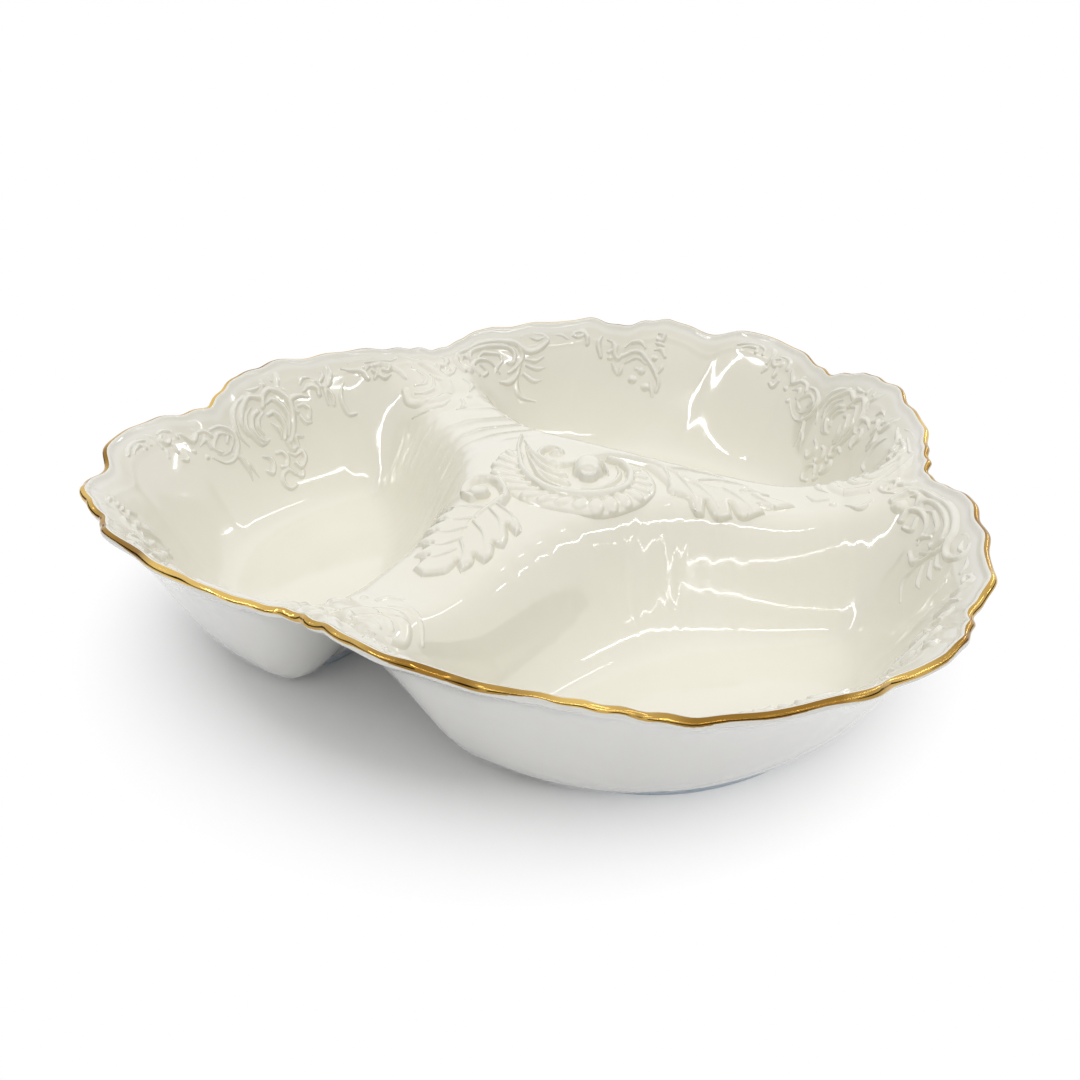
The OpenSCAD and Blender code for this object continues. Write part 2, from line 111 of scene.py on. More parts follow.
def ruffle(angle):
    """Small ruffles between the scallops, from -1 to 0, uneven in pitch and size."""
    size = 0.55 + 0.45 * np.sin(9 * angle + 1.3)
    return size * (np.sin(66 * angle + 3.4 * np.sin(9 * angle + 0.8)) - 1) / 2


def scallop(angle):
    """Reach of the scallops and ruffles, in millimetres outwards."""
    return SCALLOP_REACH * through(REACH_SHARES, angle) + RUFFLE_REACH * ruffle(angle)


print("rim from %.1f to %.1f mm" % (smooth_rim(0), smooth_rim(LOBE / 2)))

# %% [markdown]
# ## The inside surface
# One height formula gives the whole inside. Away from the ridges it is a wall
# that curves down to a floor. Near the ridge lines it is a broad crest. The
# distance from the ridge lines fades one into the other, as wet clay would.

# %% Height of the inside
RIM_HEIGHT = 58.2
RIM_LOBE_RISE = 2.2
RIM_ROUNDING_DROP = 1.4
FLOOR_HEIGHT = 8.2
WALL_REACH = 43
WALL_BULGE = 4
LIP_SLOPE = 0.7
SCALLOP_FADE = 28
SCALLOP_LIFT = 1.3
RUFFLE_LIFT = 0.7
CREST_HEIGHT = 41
CREST_CLIMB = 55
CREST_HALF_WIDTH = 30
HUB_RISE = 8
HUB_RADIUS = 20
HUB_FADE = 65
RIDGE_BLEND = 34
RIDGE_SHIFT = 9


def plan_terms(x, y):
    """Angle, radius and distance inwards from the smooth rim, for places in plan."""
    angle, r = np.arctan2(y, x), np.hypot(x, y)
    edge = smooth_rim(angle)
    change = 3 * LOBE_WAVE * np.sin(3 * angle) + 6 * ROUNDING_WAVE * np.sin(6 * angle)
    return angle, r, (edge - r) * edge / np.hypot(edge, change)


def ridge_gap(angle, r):
    """Distance from the ridge lines: a soft minimum of the distances to both.

    Away from the hub each ridge is a little wider on one side, by the ridge shift.
    """
    local = angle % LOBE - LOBE / 2
    end_side = r * np.sin(LOBE / 2 - local) - RIDGE_SHIFT * ease((r - 35) / 50)
    start_side = r * np.sin(LOBE / 2 + local)
    near = np.exp(-end_side / RIDGE_BLEND) + np.exp(-start_side / RIDGE_BLEND)
    return -RIDGE_BLEND * np.log(near)


def inside_height(x, y):
    """Height of the inside: wall and floor, mixed with the crest near the ridges."""
    angle, r, inside = plan_terms(x, y)
    fade = 1 - ease(inside / SCALLOP_FADE)
    inset = inside + 0.2 * scallop(angle) * fade
    top = RIM_HEIGHT + RIM_LOBE_RISE * np.cos(3 * angle) - RIM_ROUNDING_DROP * np.cos(6 * angle)
    rise = top - FLOOR_HEIGHT
    t = np.clip(inset / WALL_REACH, 0, 1)
    wall = (1 - t) ** 3 * (1 + (3 - WALL_REACH * LIP_SLOPE / rise) * t + WALL_BULGE * t * t)
    bowl = np.where(inset < 0, top - LIP_SLOPE * inset, FLOOR_HEIGHT + rise * wall)
    low = CREST_HEIGHT + HUB_RISE * (1 - ease((r - HUB_RADIUS) / HUB_FADE))
    lift = np.clip(1 - inset / CREST_CLIMB, 0, None)
    ridge = np.where(inset < 0, top - LIP_SLOPE * inset, low + (top - low) * lift ** 2)
    u = np.clip(ridge_gap(angle, r) / CREST_HALF_WIDTH, 0, 1)
    share = (np.cos(np.pi / 2 * u) ** 2 + 1 - u ** 3 * (10 - 15 * u + 6 * u * u)) / 2
    lip_lift = SCALLOP_LIFT * through(LIFT_SHARES, angle) + RUFFLE_LIFT * ruffle(angle + 0.02)
    return bowl + (ridge - bowl) * share + lip_lift * fade


def normals_of(height, x, y, step=0.05):
    """Unit normals of a height formula, from the height a small step to each side."""
    dx = (height(x - step, y) - height(x + step, y)) / (2 * step)
    dy = (height(x, y - step) - height(x, y + step)) / (2 * step)
    n = np.stack([dx, dy, np.ones_like(dx)], -1)
    return n / np.linalg.norm(n, axis=-1)[..., None]


print("hub height %.1f mm" % inside_height(np.array(0.01), np.array(0.0)))

# %% [markdown]
# ## Moulded folds
# The real bowl isn't plain between its ornaments. Soft folds cross the ridges
# like the turns of a rope, creases fall from the rim's notches and a step runs
# round inside the lip. Each is a small height added to the inside formula.

# %% Folds, creases and the step inside the lip
RIB_PITCH = 8.6
ROLL_PITCH = 12.5
FLUTE_PITCH = 4.6
GROOVE_DEPTH = 0.85
LINE_HEIGHT = 0.3
# Angle in the lobe, lean in degrees per millimetre inwards and depth of each crease.
CREASES = ((46, 0.1, 1.3), (62, 0.12, 0.9), (24, -0.08, 0.5), (86, 0.05, 0.9))


def folds(x, y):
    """Height of the folds: ribs and fine flutes on the flanks, broad rolls over the crests."""
    angle, r, inside = plan_terms(x, y)
    local = (angle + LOBE / 2) % LOBE - LOBE / 2
    along, aside = r * np.cos(local), r * np.sin(local)
    bent = along + 0.3 * np.abs(aside) + 1.3 * np.sin(along / 7)
    across = ridge_gap(angle, r)
    back = np.abs(angle - LOBE) < LOBE / 2
    flank = ease(across / 5) * (1 - ease((across - 10) / 14)) * ease((along - 14) / 12)
    flank = flank * np.where(back, 1, 1 - 0.8 * ease((along - 52) / 16))
    crest = ease((along - np.where(back, 34, 84)) / 8) * (1 - ease((across - 1) / 7))
    fine, broad = (np.abs(np.sin(np.pi * bent / pitch)) ** 0.7 - 0.66
                   for pitch in (RIB_PITCH, ROLL_PITCH))
    flutes = np.sin(2 * np.pi * along / FLUTE_PITCH + 2.2 * np.sin(along / 6.5))
    flutes = flutes * (0.6 + 0.4 * np.sin(along / 2.9))
    lower = ease((across - 5) / 4) * (1 - ease((across - 20) / 14)) * ease((along - 14) / 12)
    front_side = (np.abs(angle) < LOBE / 2) & (local < 0)
    total = (np.where(back, 0.4, 0.55) * fine * flank + 0.7 * broad * crest
             + np.where(front_side, 0.24, 0.04) * flutes * lower)
    return total * ease((inside - 16) / 14)


def creases(x, y):
    """Height of the wall creases: soft valleys that fade towards the floor."""
    angle, r, inside = plan_terms(x, y)
    total = np.zeros_like(r)
    for place, lean, depth in CREASES:
        off = r * ((angle % LOBE) - np.radians(place + lean * inside))
        fade = ease((inside - 4) / 6) * (1 - ease((inside - 20) / 20))
        total -= depth * fade * np.exp(-np.abs(off / 3.0) ** 1.4)
    return total


def lip_step(inset):
    """Height of the step inside the lip: a groove, then a thin raised line."""
    groove = -GROOVE_DEPTH * ease((inset - 1.8) / 1.7) * (1 - ease((inset - 3.8) / 5.5))
    line = LINE_HEIGHT * np.exp(-((inset - 9.2) / 0.9) ** 2)
    return groove + line


def glazed_height(x, y):
    """Height of the inside with all its folds."""
    angle, r, inside = plan_terms(x, y)
    return (inside_height(x, y) + folds(x, y) + creases(x, y)
            + lip_step(smooth_rim(angle) + scallop(angle) - r))


sample = np.linspace(30, 120, 200)
print("folds reach %.2f mm" % np.abs(folds(sample, sample * 0 + 12)).max())

# %% [markdown]
# ## Turning grids into meshes
# Every piece is a grid of points, so the same helpers build them all. They join
# neighbours into quads and close the grid into a ring or a tube where asked. The
# points are moved to the hub and to metres here, so the object itself isn't moved.

# %% Mesh helper
def grid_faces(rows, columns, ring):
    """Quads between neighbours of a grid; with ring, the last row joins the first."""
    i = np.arange(rows if ring else rows - 1)[:, None]
    j = np.arange(columns - 1)[None, :]
    a, b = i * columns + j, (i + 1) % rows * columns + j
    return np.stack([a, b, b + 1, a + 1], -1).reshape(-1, 4)


def tube_faces(rows, around):
    """Quads of a closed ring with a closed section: its last column joins the first."""
    quads = grid_faces(rows, around + 1, True)
    return quads // (around + 1) * around + quads % (around + 1) % around


def make_piece(name, points, quads, triangles=(), values=None, material=None):
    """Mesh object from points in millimetres, four-cornered and three-cornered faces."""
    mesh = bpy.data.meshes.new(name)
    faces = quads.tolist() + list(triangles)
    mesh.from_pydata((points / 1000 + hub).tolist(), [], faces)
    mesh.polygons.foreach_set("use_smooth", np.ones(len(faces), bool))
    for label, numbers in (values or {}).items():
        layer = mesh.attributes.new(label, "FLOAT", "POINT")
        layer.data.foreach_set("value", np.asarray(numbers, np.float32).ravel())
    mesh.update()
    piece = bpy.data.objects.new(name, mesh)
    scene.collection.objects.link(piece)
    mesh.materials.append(material)
    print(name, len(points), "points", 2 * len(quads) + len(triangles), "triangles")
    return piece


# %% [markdown]
# ## Glaze
# Ivory glaze lies in the wells and thins to near white over the lip, on the crests of the ornament and on
# the outside; that thin glaze is painted greyer, as shade for the outside walls. Every piece carries two
# numbers per point: "ivory" says how much tint, the other how much glaze gathered in a hollow, darkened
# further as painted shade.

# %% Glaze material
def sockets(group, direction, *names):
    """Adds float or colour sockets to a node group's interface."""
    for name, kind in names:
        group.interface.new_socket(name=name, in_out=direction, socket_type="NodeSocket" + kind)


def cloud_group():
    """Slow and fine clouds in object space, as a shade around 0.5 and a fine height."""
    group = bpy.data.node_groups.new("Glaze clouds", "ShaderNodeTree")
    sockets(group, "INPUT", ("Shade scale", "Float"), ("Ripple scale", "Float"))
    sockets(group, "OUTPUT", ("Shade", "Float"), ("Ripple", "Float"))
    nodes, links = group.nodes, group.links
    place = nodes.new("ShaderNodeTexCoord")
    given, out = nodes.new("NodeGroupInput"), nodes.new("NodeGroupOutput")
    for label, detail in (("Shade", 3), ("Ripple", 2)):
        noise = nodes.new("ShaderNodeTexNoise")
        noise.inputs["Detail"].default_value = detail
        links.new(place.outputs["Object"], noise.inputs["Vector"])
        links.new(given.outputs[label + " scale"], noise.inputs["Scale"])
        links.new(noise.outputs["Fac"], out.inputs[label])
    return group


clouds = cloud_group()


def start_material(name):
    """New material and its shader, with the clouds group placed beside it."""
    material = bpy.data.materials.new(name)
    material.use_nodes = True
    tree = material.node_tree
    shader = tree.nodes["Principled BSDF"]
    cloud = tree.nodes.new("ShaderNodeGroup")
    cloud.node_tree = clouds
    cloud.inputs["Shade scale"].default_value = 22
    cloud.inputs["Ripple scale"].default_value = 190
    return material, tree, shader, cloud


def mixer(tree, factor, low, high):
    """Colour mix node; factor is an output, low and high are colours or outputs."""
    node = tree.nodes.new("ShaderNodeMix")
    node.data_type = "RGBA"
    for socket, value in ((node.inputs[0], factor), (node.inputs[6], low), (node.inputs[7], high)):
        if isinstance(value, bpy.types.NodeSocket):
            tree.links.new(value, socket)
        else:
            socket.default_value = value
    return node.outputs[2]


def span(tree, value, low, high, to_low, to_high):
    """Map Range node from low..high to to_low..to_high."""
    node = tree.nodes.new("ShaderNodeMapRange")
    tree.links.new(value, node.inputs["Value"])
    for name, number in zip(("From Min", "From Max", "To Min", "To Max"),
                            (low, high, to_low, to_high)):
        node.inputs[name].default_value = number
    return node.outputs["Result"]


def bump(tree, shader, height, distance, strength):
    """Bump of a height on the shader's normal."""
    node = tree.nodes.new("ShaderNodeBump")
    node.inputs["Distance"].default_value = distance
    node.inputs["Strength"].default_value = strength
    tree.links.new(height, node.inputs["Height"])
    tree.links.new(node.outputs["Normal"], shader.inputs["Normal"])


IVORY_DEEP = (0.790, 0.762, 0.655, 1)
IVORY_PALE = (0.812, 0.788, 0.690, 1)
# Thin glaze over the lip, the ornament's crests and the outside: less yellow than the ivory, and set grey as
# painted shade for the outside walls.
THIN_GLAZE_PAINTED_SHADE = (0.750, 0.745, 0.715, 1)
# Glaze pooled in hollows, darkened further as painted shade.
GLAZE_POOL_AND_SHADE = (0.60, 0.555, 0.42, 1)


def glaze_material():
    """Glossy porcelain glaze: thin glaze greyed as painted shade, to ivory, then to the colour of pools
    darkened as painted shade.
    """
    material, tree, shader, cloud = start_material("Ivory glaze")
    tint = tree.nodes.new("ShaderNodeAttribute")
    tint.attribute_name = "ivory"
    pool_shade = tree.nodes.new("ShaderNodeAttribute")
    pool_shade.attribute_name = "pool_shade"
    warm = mixer(tree, span(tree, cloud.outputs["Shade"], 0.3, 0.7, 0, 1), IVORY_DEEP, IVORY_PALE)
    skin = mixer(tree, tint.outputs["Fac"], THIN_GLAZE_PAINTED_SHADE, warm)
    # Hollows take the pool colour: glaze pooling and painted shade.
    pooled_shade = mixer(tree, pool_shade.outputs["Fac"], skin, GLAZE_POOL_AND_SHADE)
    tree.links.new(pooled_shade, shader.inputs["Base Color"])
    tree.links.new(span(tree, cloud.outputs["Shade"], 0.3, 0.7, 0.05, 0.10),
                   shader.inputs["Roughness"])
    bump(tree, shader, cloud.outputs["Ripple"], 0.0001, 0.25)
    shader.inputs["IOR"].default_value = 1.52
    shader.inputs["Coat Weight"].default_value = 0.6
    shader.inputs["Coat Roughness"].default_value = 0.02
    return material


glaze = glaze_material()
print("glaze nodes", len(glaze.node_tree.nodes))

# %% [markdown]
# ## The body
# The body is one shell: rows of points run from the middle of the inside out to
# the lip, half round over it and back under the bowl to the middle. Rows crowd
# near the lip, where the step and the scallops need them, and the underside is
# kept flat where the foot rings sit.

# %% Rows of the body
COLUMNS = 540
LIP = 3.2
WALL = 4.4
CLOSE_REACH = 13
FULL_REACH = 142
lip_angle = np.arctan(LIP_SLOPE)
lip_inset = LIP / 2 * (np.sin(lip_angle) + np.cos(lip_angle))
column_angle = 2 * np.pi * np.arange(COLUMNS) / COLUMNS


def wall_rows(near, far):
    """Shares of the way inwards: 'near' even steps at the lip, then 'far' wider ones."""
    close = np.linspace(0, CLOSE_REACH, near, endpoint=False)
    wide = CLOSE_REACH + (FULL_REACH - CLOSE_REACH) * np.linspace(0, 1, far) ** 1.05
    return np.concatenate([close, wide[:-1]]) / FULL_REACH


def plan_rows(shares):
    """Places in plan: from the lip's inner edge inwards, one row per share."""
    start = smooth_rim(column_angle) + scallop(column_angle) - lip_inset
    r = start[:, None] * (1 - shares[None, :])
    return r * np.cos(column_angle)[:, None], r * np.sin(column_angle)[:, None]


print("lip edge lies %.2f mm inside the rim line" % lip_inset)

# %% [markdown]
# ## The outside and the lip
# The caster's outside face follows the inside at the wall's thickness, so it is
# the plain inside moved back along its normals. Each foot ring needs a level seat,
# so the outside is pressed flat in the shape of the foot. The lip is a half circle
# that starts from the inside's edge.

# %% Outside and lip
FOOT_PLACE = 81
FOOT_OUTWARDS = 36
FOOT_INWARDS = 23
FOOT_HALF_LENGTH = 49.5
SEAT_HEIGHT = 3.8
SEAT_MARGIN = 2.5
SEAT_FADE = 69


def thickness(inset):
    """Wall thickness: the lip's at the edge, growing to the wall's 27 mm inwards."""
    return LIP + (WALL - LIP) * ease((inset - LIP / 2) / 25)


def foot_share(x, y, margin):
    """Where a place lies in the foot's egg shape: below 1 is inside it."""
    r, local = np.hypot(x, y), np.arctan2(y, x) % LOBE - LOBE / 2
    ahead = r * np.cos(local) - FOOT_PLACE
    reach = np.where(ahead > 0, FOOT_OUTWARDS, FOOT_INWARDS) + margin
    return np.hypot(ahead / reach, r * np.sin(local) / (FOOT_HALF_LENGTH + margin))


def outer_skin(shares):
    """Points of the outside: the plain inside moved back along its normal, with seats.

    Below the lip the normal is averaged over 15 columns, so the ruffles fade out.
    """
    x, y = plan_rows(shares)
    points = np.stack([x, y, inside_height(x, y)], -1)
    inset = (1 - np.hypot(x, y) / np.hypot(x[:, :1], y[:, :1])) * FULL_REACH
    sharp = normals_of(inside_height, x, y)
    calm = sum(np.roll(sharp, step, axis=0) for step in range(-7, 8))
    calm /= np.linalg.norm(calm, axis=-1, keepdims=True)
    share = ease(inset / 4)[..., None]
    points -= (sharp * (1 - share) + calm * share) * thickness(inset)[..., None]
    beyond = foot_share(points[..., 0], points[..., 1], SEAT_MARGIN) - 1
    ceiling = SEAT_HEIGHT + np.clip(beyond, 0, None) * SEAT_FADE
    points[..., 2] = np.maximum(SEAT_HEIGHT, np.minimum(points[..., 2], ceiling))
    return points


def lip_arc(turns, grow):
    """Points of the half-round lip at the given turns, 0 inside to pi outside."""
    x, y = plan_rows(np.zeros(1))
    start = np.stack([x, y, inside_height(x, y)], -1)
    n = normals_of(inside_height, x, y)
    out = np.stack([np.cos(column_angle), np.sin(column_angle), 0 * column_angle], -1)[:, None]
    side = out - n * (out * n).sum(-1, keepdims=True)
    side /= np.linalg.norm(side, axis=-1, keepdims=True)
    radius = (LIP / 2 + np.asarray(grow))[..., None]
    return (start - n * LIP / 2 + radius * (n * np.cos(turns)[None, :, None]
                                            + side * np.sin(turns)[None, :, None]))


print("wall %.1f mm, foot seat %.1f mm above the table" % (WALL, SEAT_HEIGHT))

# %% Build the body
inner_shares = wall_rows(46, 84)
x, y = plan_rows(inner_shares)
inner = np.stack([x, y, glazed_height(x, y)], -1)
inner[:, 0, 2] = inside_height(x[:, 0], y[:, 0])
turns = np.pi * np.arange(1, 10) / 10
outer = outer_skin(wall_rows(10, 30))
shell = np.concatenate([inner[:, ::-1], lip_arc(turns, 0.0), outer], axis=1)
rows = shell.shape[1]
from_rim = inner_shares * FULL_REACH
ivory = np.concatenate([(0.6 + 0.4 * ease((from_rim - 1) / 8))[::-1],
                        0.6 * (1 - turns / np.pi), np.zeros(outer.shape[1])])
ivory = np.repeat(ivory[None, :], COLUMNS, axis=0).ravel()
# The groove under the lip is darkened: glaze pooling and painted shade.
hollow = np.clip(-lip_step(from_rim), 0, 1)[::-1] * 0.35
hollow = np.concatenate([hollow, np.zeros(rows - len(hollow))])
hollow = np.repeat(hollow[None, :], COLUMNS, axis=0).ravel()
top = np.array([0, 0, glazed_height(np.array(1e-6), np.array(0.0))])
under = np.array([0, 0, inside_height(np.array(1e-6), np.array(0.0)) - WALL])
points = np.concatenate([shell.reshape(-1, 3), [top, under]])
here = np.arange(COLUMNS) * rows
beside = np.roll(here, -1)
caps = np.concatenate([np.stack([here, here * 0 + COLUMNS * rows, beside], -1),
                       np.stack([beside + rows - 1, here * 0 + COLUMNS * rows + 1,
                                 here + rows - 1], -1)]).tolist()
body = make_piece("bowl_shell", points, grid_faces(COLUMNS, rows, True), caps,
                  {"ivory": np.append(ivory, [1, 0]), "pool_shade": np.append(hollow, [0, 0])}, glaze)
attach(body, "root")
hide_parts("bowl_body")

# %% [markdown]
# ## The gold band
# Liquid gold is brushed on the fired glaze and fired again. It covers the outer
# side of the lip from its crown to a slightly uneven lower edge. Here it is a thin
# closed skin over the lip, whose edges sink into the glaze.

# %% Gold material
# Shaded and lit gold, mixed by clouds in the base colour: painted shade and painted highlight.
GOLD_IN_SHADE = (0.30, 0.16, 0.03, 1)
GOLD_BRIGHT = (0.74, 0.50, 0.15, 1)


def gold_material():
    """Polished gold film with brush streaks in its roughness and bump; its colour mixes shaded and lit gold
    as painted shade and painted highlight.
    """
    material, tree, shader, cloud = start_material("Burnished gold")
    color = mixer(tree, span(tree, cloud.outputs["Shade"], 0.4, 0.6, 0, 1),
                  GOLD_IN_SHADE, GOLD_BRIGHT)
    tree.links.new(color, shader.inputs["Base Color"])
    tree.links.new(span(tree, cloud.outputs["Ripple"], 0.3, 0.7, 0.08, 0.22),
                   shader.inputs["Roughness"])
    bump(tree, shader, cloud.outputs["Shade"], 0.0012, 0.5)
    shader.inputs["Metallic"].default_value = 1.0
    return material


gold = gold_material()

print("gold nodes", len(gold.node_tree.nodes))

# %% Build the gold band
FILM = 0.14
UNDER_GLAZE = -0.12
band_turns = np.linspace(np.radians(26), np.radians(165), 30)
lower_edge = 116 + 14 * np.sin(17 * column_angle) + 8 * np.sin(41 * column_angle + 1)
from_top = band_turns - band_turns[0]
from_foot = np.radians(lower_edge)[:, None] - band_turns
film = FILM * np.minimum(np.clip(from_top, 0, 1) ** 1.5,
                         np.sqrt(np.clip(from_foot / 0.35, 0, 1)))
film = film - 0.06 * (np.minimum(from_top, from_foot) <= 0)
section = np.concatenate([lip_arc(band_turns, film),
                          lip_arc(band_turns[::-1], np.full((1, 30), UNDER_GLAZE))], axis=1)
band = make_piece("gold_band", section.reshape(-1, 3), tube_faces(COLUMNS, section.shape[1]),
                  material=gold)
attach(band, "root")
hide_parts("gilt_rim")

# %% [markdown]
# ## The foot rings
# A foot ring is a low wall in an egg shape under each well. Its lower edge is rounded and wiped free of
# glaze, so it stands dry; its pale blue-grey is painted shade, the bluish shade under the bowl. The section
# is a small rounded rectangle that follows the outline.

# %% Foot material
# Both tones are a pale blue-grey standing in for the shade under the bowl: painted shade; the clouds mix
# them as grain.
DRY_DARK_PAINTED_SHADE = (0.60, 0.69, 0.79, 1)
DRY_PALE_PAINTED_SHADE = (0.70, 0.77, 0.85, 1)


def foot_material():
    """Dry porcelain with a faint grain, in a pale blue-grey that is painted shade."""
    material, tree, shader, cloud = start_material("Dry foot")
    color = mixer(tree, span(tree, cloud.outputs["Ripple"], 0.3, 0.7, 0, 1), DRY_DARK_PAINTED_SHADE, DRY_PALE_PAINTED_SHADE)
    tree.links.new(color, shader.inputs["Base Color"])
    tree.links.new(span(tree, cloud.outputs["Shade"], 0.3, 0.7, 0.25, 0.4),
                   shader.inputs["Roughness"])
    bump(tree, shader, cloud.outputs["Ripple"], 0.0002, 0.3)
    return material


dry = foot_material()
print("foot nodes", len(dry.node_tree.nodes))

# %% Build the foot rings
FOOT_STEPS = 240
FOOT_WIDTH = 4
FOOT_ROUNDING = 1.2


def turned(points, angle):
    """Points turned round the hub: x cos - y sin, x sin + y cos; heights stay."""
    c, s = np.cos(angle), np.sin(angle)
    result = points.copy()
    result[..., 0] = points[..., 0] * c - points[..., 1] * s
    result[..., 1] = points[..., 0] * s + points[..., 1] * c
    return result


def foot_ring(turn):
    """Ring with a rounded lower edge; turn is the angle of its well."""
    a = 2 * np.pi * np.arange(FOOT_STEPS) / FOOT_STEPS
    reach = np.where(np.cos(a) > 0, FOOT_OUTWARDS, FOOT_INWARDS)
    outline = np.stack([reach * np.cos(a), FOOT_HALF_LENGTH * np.sin(a)], -1)
    inward = np.stack([-np.cos(a) / reach, -np.sin(a) / FOOT_HALF_LENGTH], -1)
    inward /= np.linalg.norm(inward, axis=-1, keepdims=True)
    corner = np.radians([0, 30, 60, 90])
    rounded, straight = FOOT_ROUNDING * (1 - np.cos(corner)), FOOT_ROUNDING * (1 - np.sin(corner))
    depth = np.concatenate([[0], rounded, FOOT_WIDTH - straight, [FOOT_WIDTH]])
    level = np.concatenate([[SEAT_HEIGHT], straight, rounded, [SEAT_HEIGHT]])
    flat = outline[:, None] + inward[:, None] * depth[None, :, None]
    flat[..., 0] += FOOT_PLACE
    height = np.broadcast_to(level[None, :, None], flat.shape[:2] + (1,))
    return turned(np.concatenate([flat, height], -1), turn)


for lobe, name in enumerate(FEET):
    ring = foot_ring(LOBE / 2 + LOBE * lobe)
    foot = make_piece(name.replace("ring", "wall"), ring.reshape(-1, 3),
                      tube_faces(FOOT_STEPS, ring.shape[1])[:, ::-1], material=dry)
    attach(foot, "root")
    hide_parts(name)

# %% [markdown]
# ## Modelling with strokes
# A modeller builds scrolls and leaves from rolled strips of clay that taper to
# their ends. A stroke here is a smooth path with a half width and a rise along
# it. The relief at a place is the highest stroke there, blended a little. A stroke's
# last number is its profile: 2 is round, more is flatter, 0 is a slab inside an
# outline, and a number below 0 is carved instead of raised.

# %% Strokes
BLEND = 0.13
SINK = 0.14


def smooth_path(points, count):
    """Curve through given points, evenly stepped (cubic between neighbours)."""
    p = np.array(points, float)
    if len(p) == 1:
        p = np.concatenate([p, p + 0.01])
    p = np.concatenate([[2 * p[0] - p[1]], p, [2 * p[-1] - p[-2]]])
    place = np.linspace(0, len(p) - 3, count)
    k = np.minimum(place.astype(int), len(p) - 4)
    t = (place - k)[:, None]
    a, b, c, d = p[k], p[k + 1], p[k + 2], p[k + 3]
    return b + t / 2 * (c - a + t * (2 * a - 5 * b + 4 * c - d + t * (3 * (b - c) + d - a)))


def stroke(points, width, rise, start=0.35, end=0.6, flat=2.0, swell=0.45):
    """Stroke through points: its width and rise grow from start to 1 and fall to end."""
    path = smooth_path(points, 6 * len(points))
    t = np.linspace(0, 1, len(path))
    share = np.where(t < swell, start + (1 - start) * ease(t / swell),
                     end + (1 - end) * ease((1 - t) / (1 - swell)))
    return path, width / 2 * share, rise * share ** 0.6, flat


def bead(x, y, width, rise):
    """Round bead, or a dome when it is wide."""
    return stroke([(x, y)], width, rise, 1, 1)


def slab(outline, rise, edge=2.2):
    """Flat slab cut to an outline, with an edge that rounds up to the given rise."""
    p = np.array(outline, float)
    before, after = p - np.roll(p, 1, axis=0), np.roll(p, -1, axis=0) - p
    straight = (before * after).sum(1) / np.linalg.norm(before, axis=1) / np.linalg.norm(after, axis=1)
    p = np.repeat(p, np.where(straight < 0.55, 2, 1), axis=0)
    closed = np.concatenate([p[-2:], p, p[:3]])
    path = smooth_path(closed, 4 * len(closed) - 3)[8:-9]
    path = np.concatenate([path, path[:1]])
    return path, np.full(len(path), edge), np.full(len(path), float(rise)), 0


def inside_outline(p, path):
    """True where a line drawn sideways from the place crosses the outline an odd time."""
    a, b = path[:-1], path[1:]
    spans = (a[:, 1] > p[..., 1:]) != (b[:, 1] > p[..., 1:])
    fall = np.where(a[:, 1] == b[:, 1], 1e-9, b[:, 1] - a[:, 1])
    cross = a[:, 0] + (p[..., 1:] - a[:, 1]) / fall * (b[:, 0] - a[:, 0])
    return ((spans & (p[..., :1] < cross)).sum(-1) % 2) == 1


def disc(x, y, radius, rise, flat, length=0.01):
    """Disc with a flat top, drawn out to a length; carved when flat is below 0."""
    return np.array([(x, y), (x + length, y)]), np.full(2, radius), np.full(2, rise), flat


print("a bead has", len(bead(0, 0, 2, 1)[0]), "path points")

# %% Relief of the strokes
def relief(x, y, strokes):
    """Relief at places in plan: soft maximum of rise * (1 - (gap / half width) ^ flat).

    Plain round strokes take that bracket to the power 1.4, which gives a soft foot.

    Gaps are measured along the surface: gap squared = plan distance squared plus
    (slope times plan distance) squared, so a round bead stays round on a steep wall.
    """
    total, carved = np.full(x.shape, np.exp(-SINK / BLEND)), np.zeros(x.shape)
    slope = normals_of(inside_height, x, y)
    slope = -slope[..., :2] / slope[..., 2:]
    for path, half, rise, flat in strokes:
        low, high = path.min(0) - half.max() * 1.3, path.max(0) + half.max() * 1.3
        near = (x > low[0]) & (x < high[0]) & (y > low[1]) & (y < high[1])
        if not near.any():
            continue
        p, tilt = np.stack([x[near], y[near]], -1)[:, None], slope[near][:, None]
        a, side = path[:-1], path[1:] - path[:-1]
        t = np.clip(((p - a) * side).sum(-1) / (side ** 2).sum(-1), 0, 1)
        off = p - a - t[..., None] * side
        gap = np.sqrt((off ** 2).sum(-1) + (off * tilt).sum(-1) ** 2)
        w, h = half[:-1] + t * np.diff(half), rise[:-1] + t * np.diff(rise)
        if flat < 0:
            depth = (h * (1 - np.minimum(gap / w, 1) ** -flat)).max(1)
            carved[near] = np.maximum(carved[near], depth)
            continue
        if flat:
            power = 1.4 if flat == 2 else 1.0
            up = h * (1 - np.minimum(gap / w, 1) ** flat) ** power
            best = np.where(gap < w, up, -2.5 * (gap - w)).max(1)
        else:
            gap = gap.min(1)
            up = h[:, 0] * (1 - (1 - np.minimum(gap / w[:, 0], 1)) ** 2.5)
            best = np.where(inside_outline(p[:, 0], path), up, -2 * gap)
        total[near] += np.exp(np.maximum(best, -1) / BLEND)
    lift = BLEND * np.log(total)
    return lift - carved * ease(lift / 0.9)


def glaze_pools_and_shade(lift):
    """Pools, darkened as glaze pooling and painted shade, and crests: how far the relief lies below and
    above its blurred self.
    """
    base = np.maximum(lift, 0)
    soft = base.copy()
    for _ in range(8):
        soft[1:-1, 1:-1] = (soft[1:-1, 1:-1] + soft[:-2, 1:-1] + soft[2:, 1:-1]
                            + soft[1:-1, :-2] + soft[1:-1, 2:]) / 5
    return np.clip((soft - base) / 0.5, 0, 1), np.clip((base - soft) / 0.4, 0, 1)


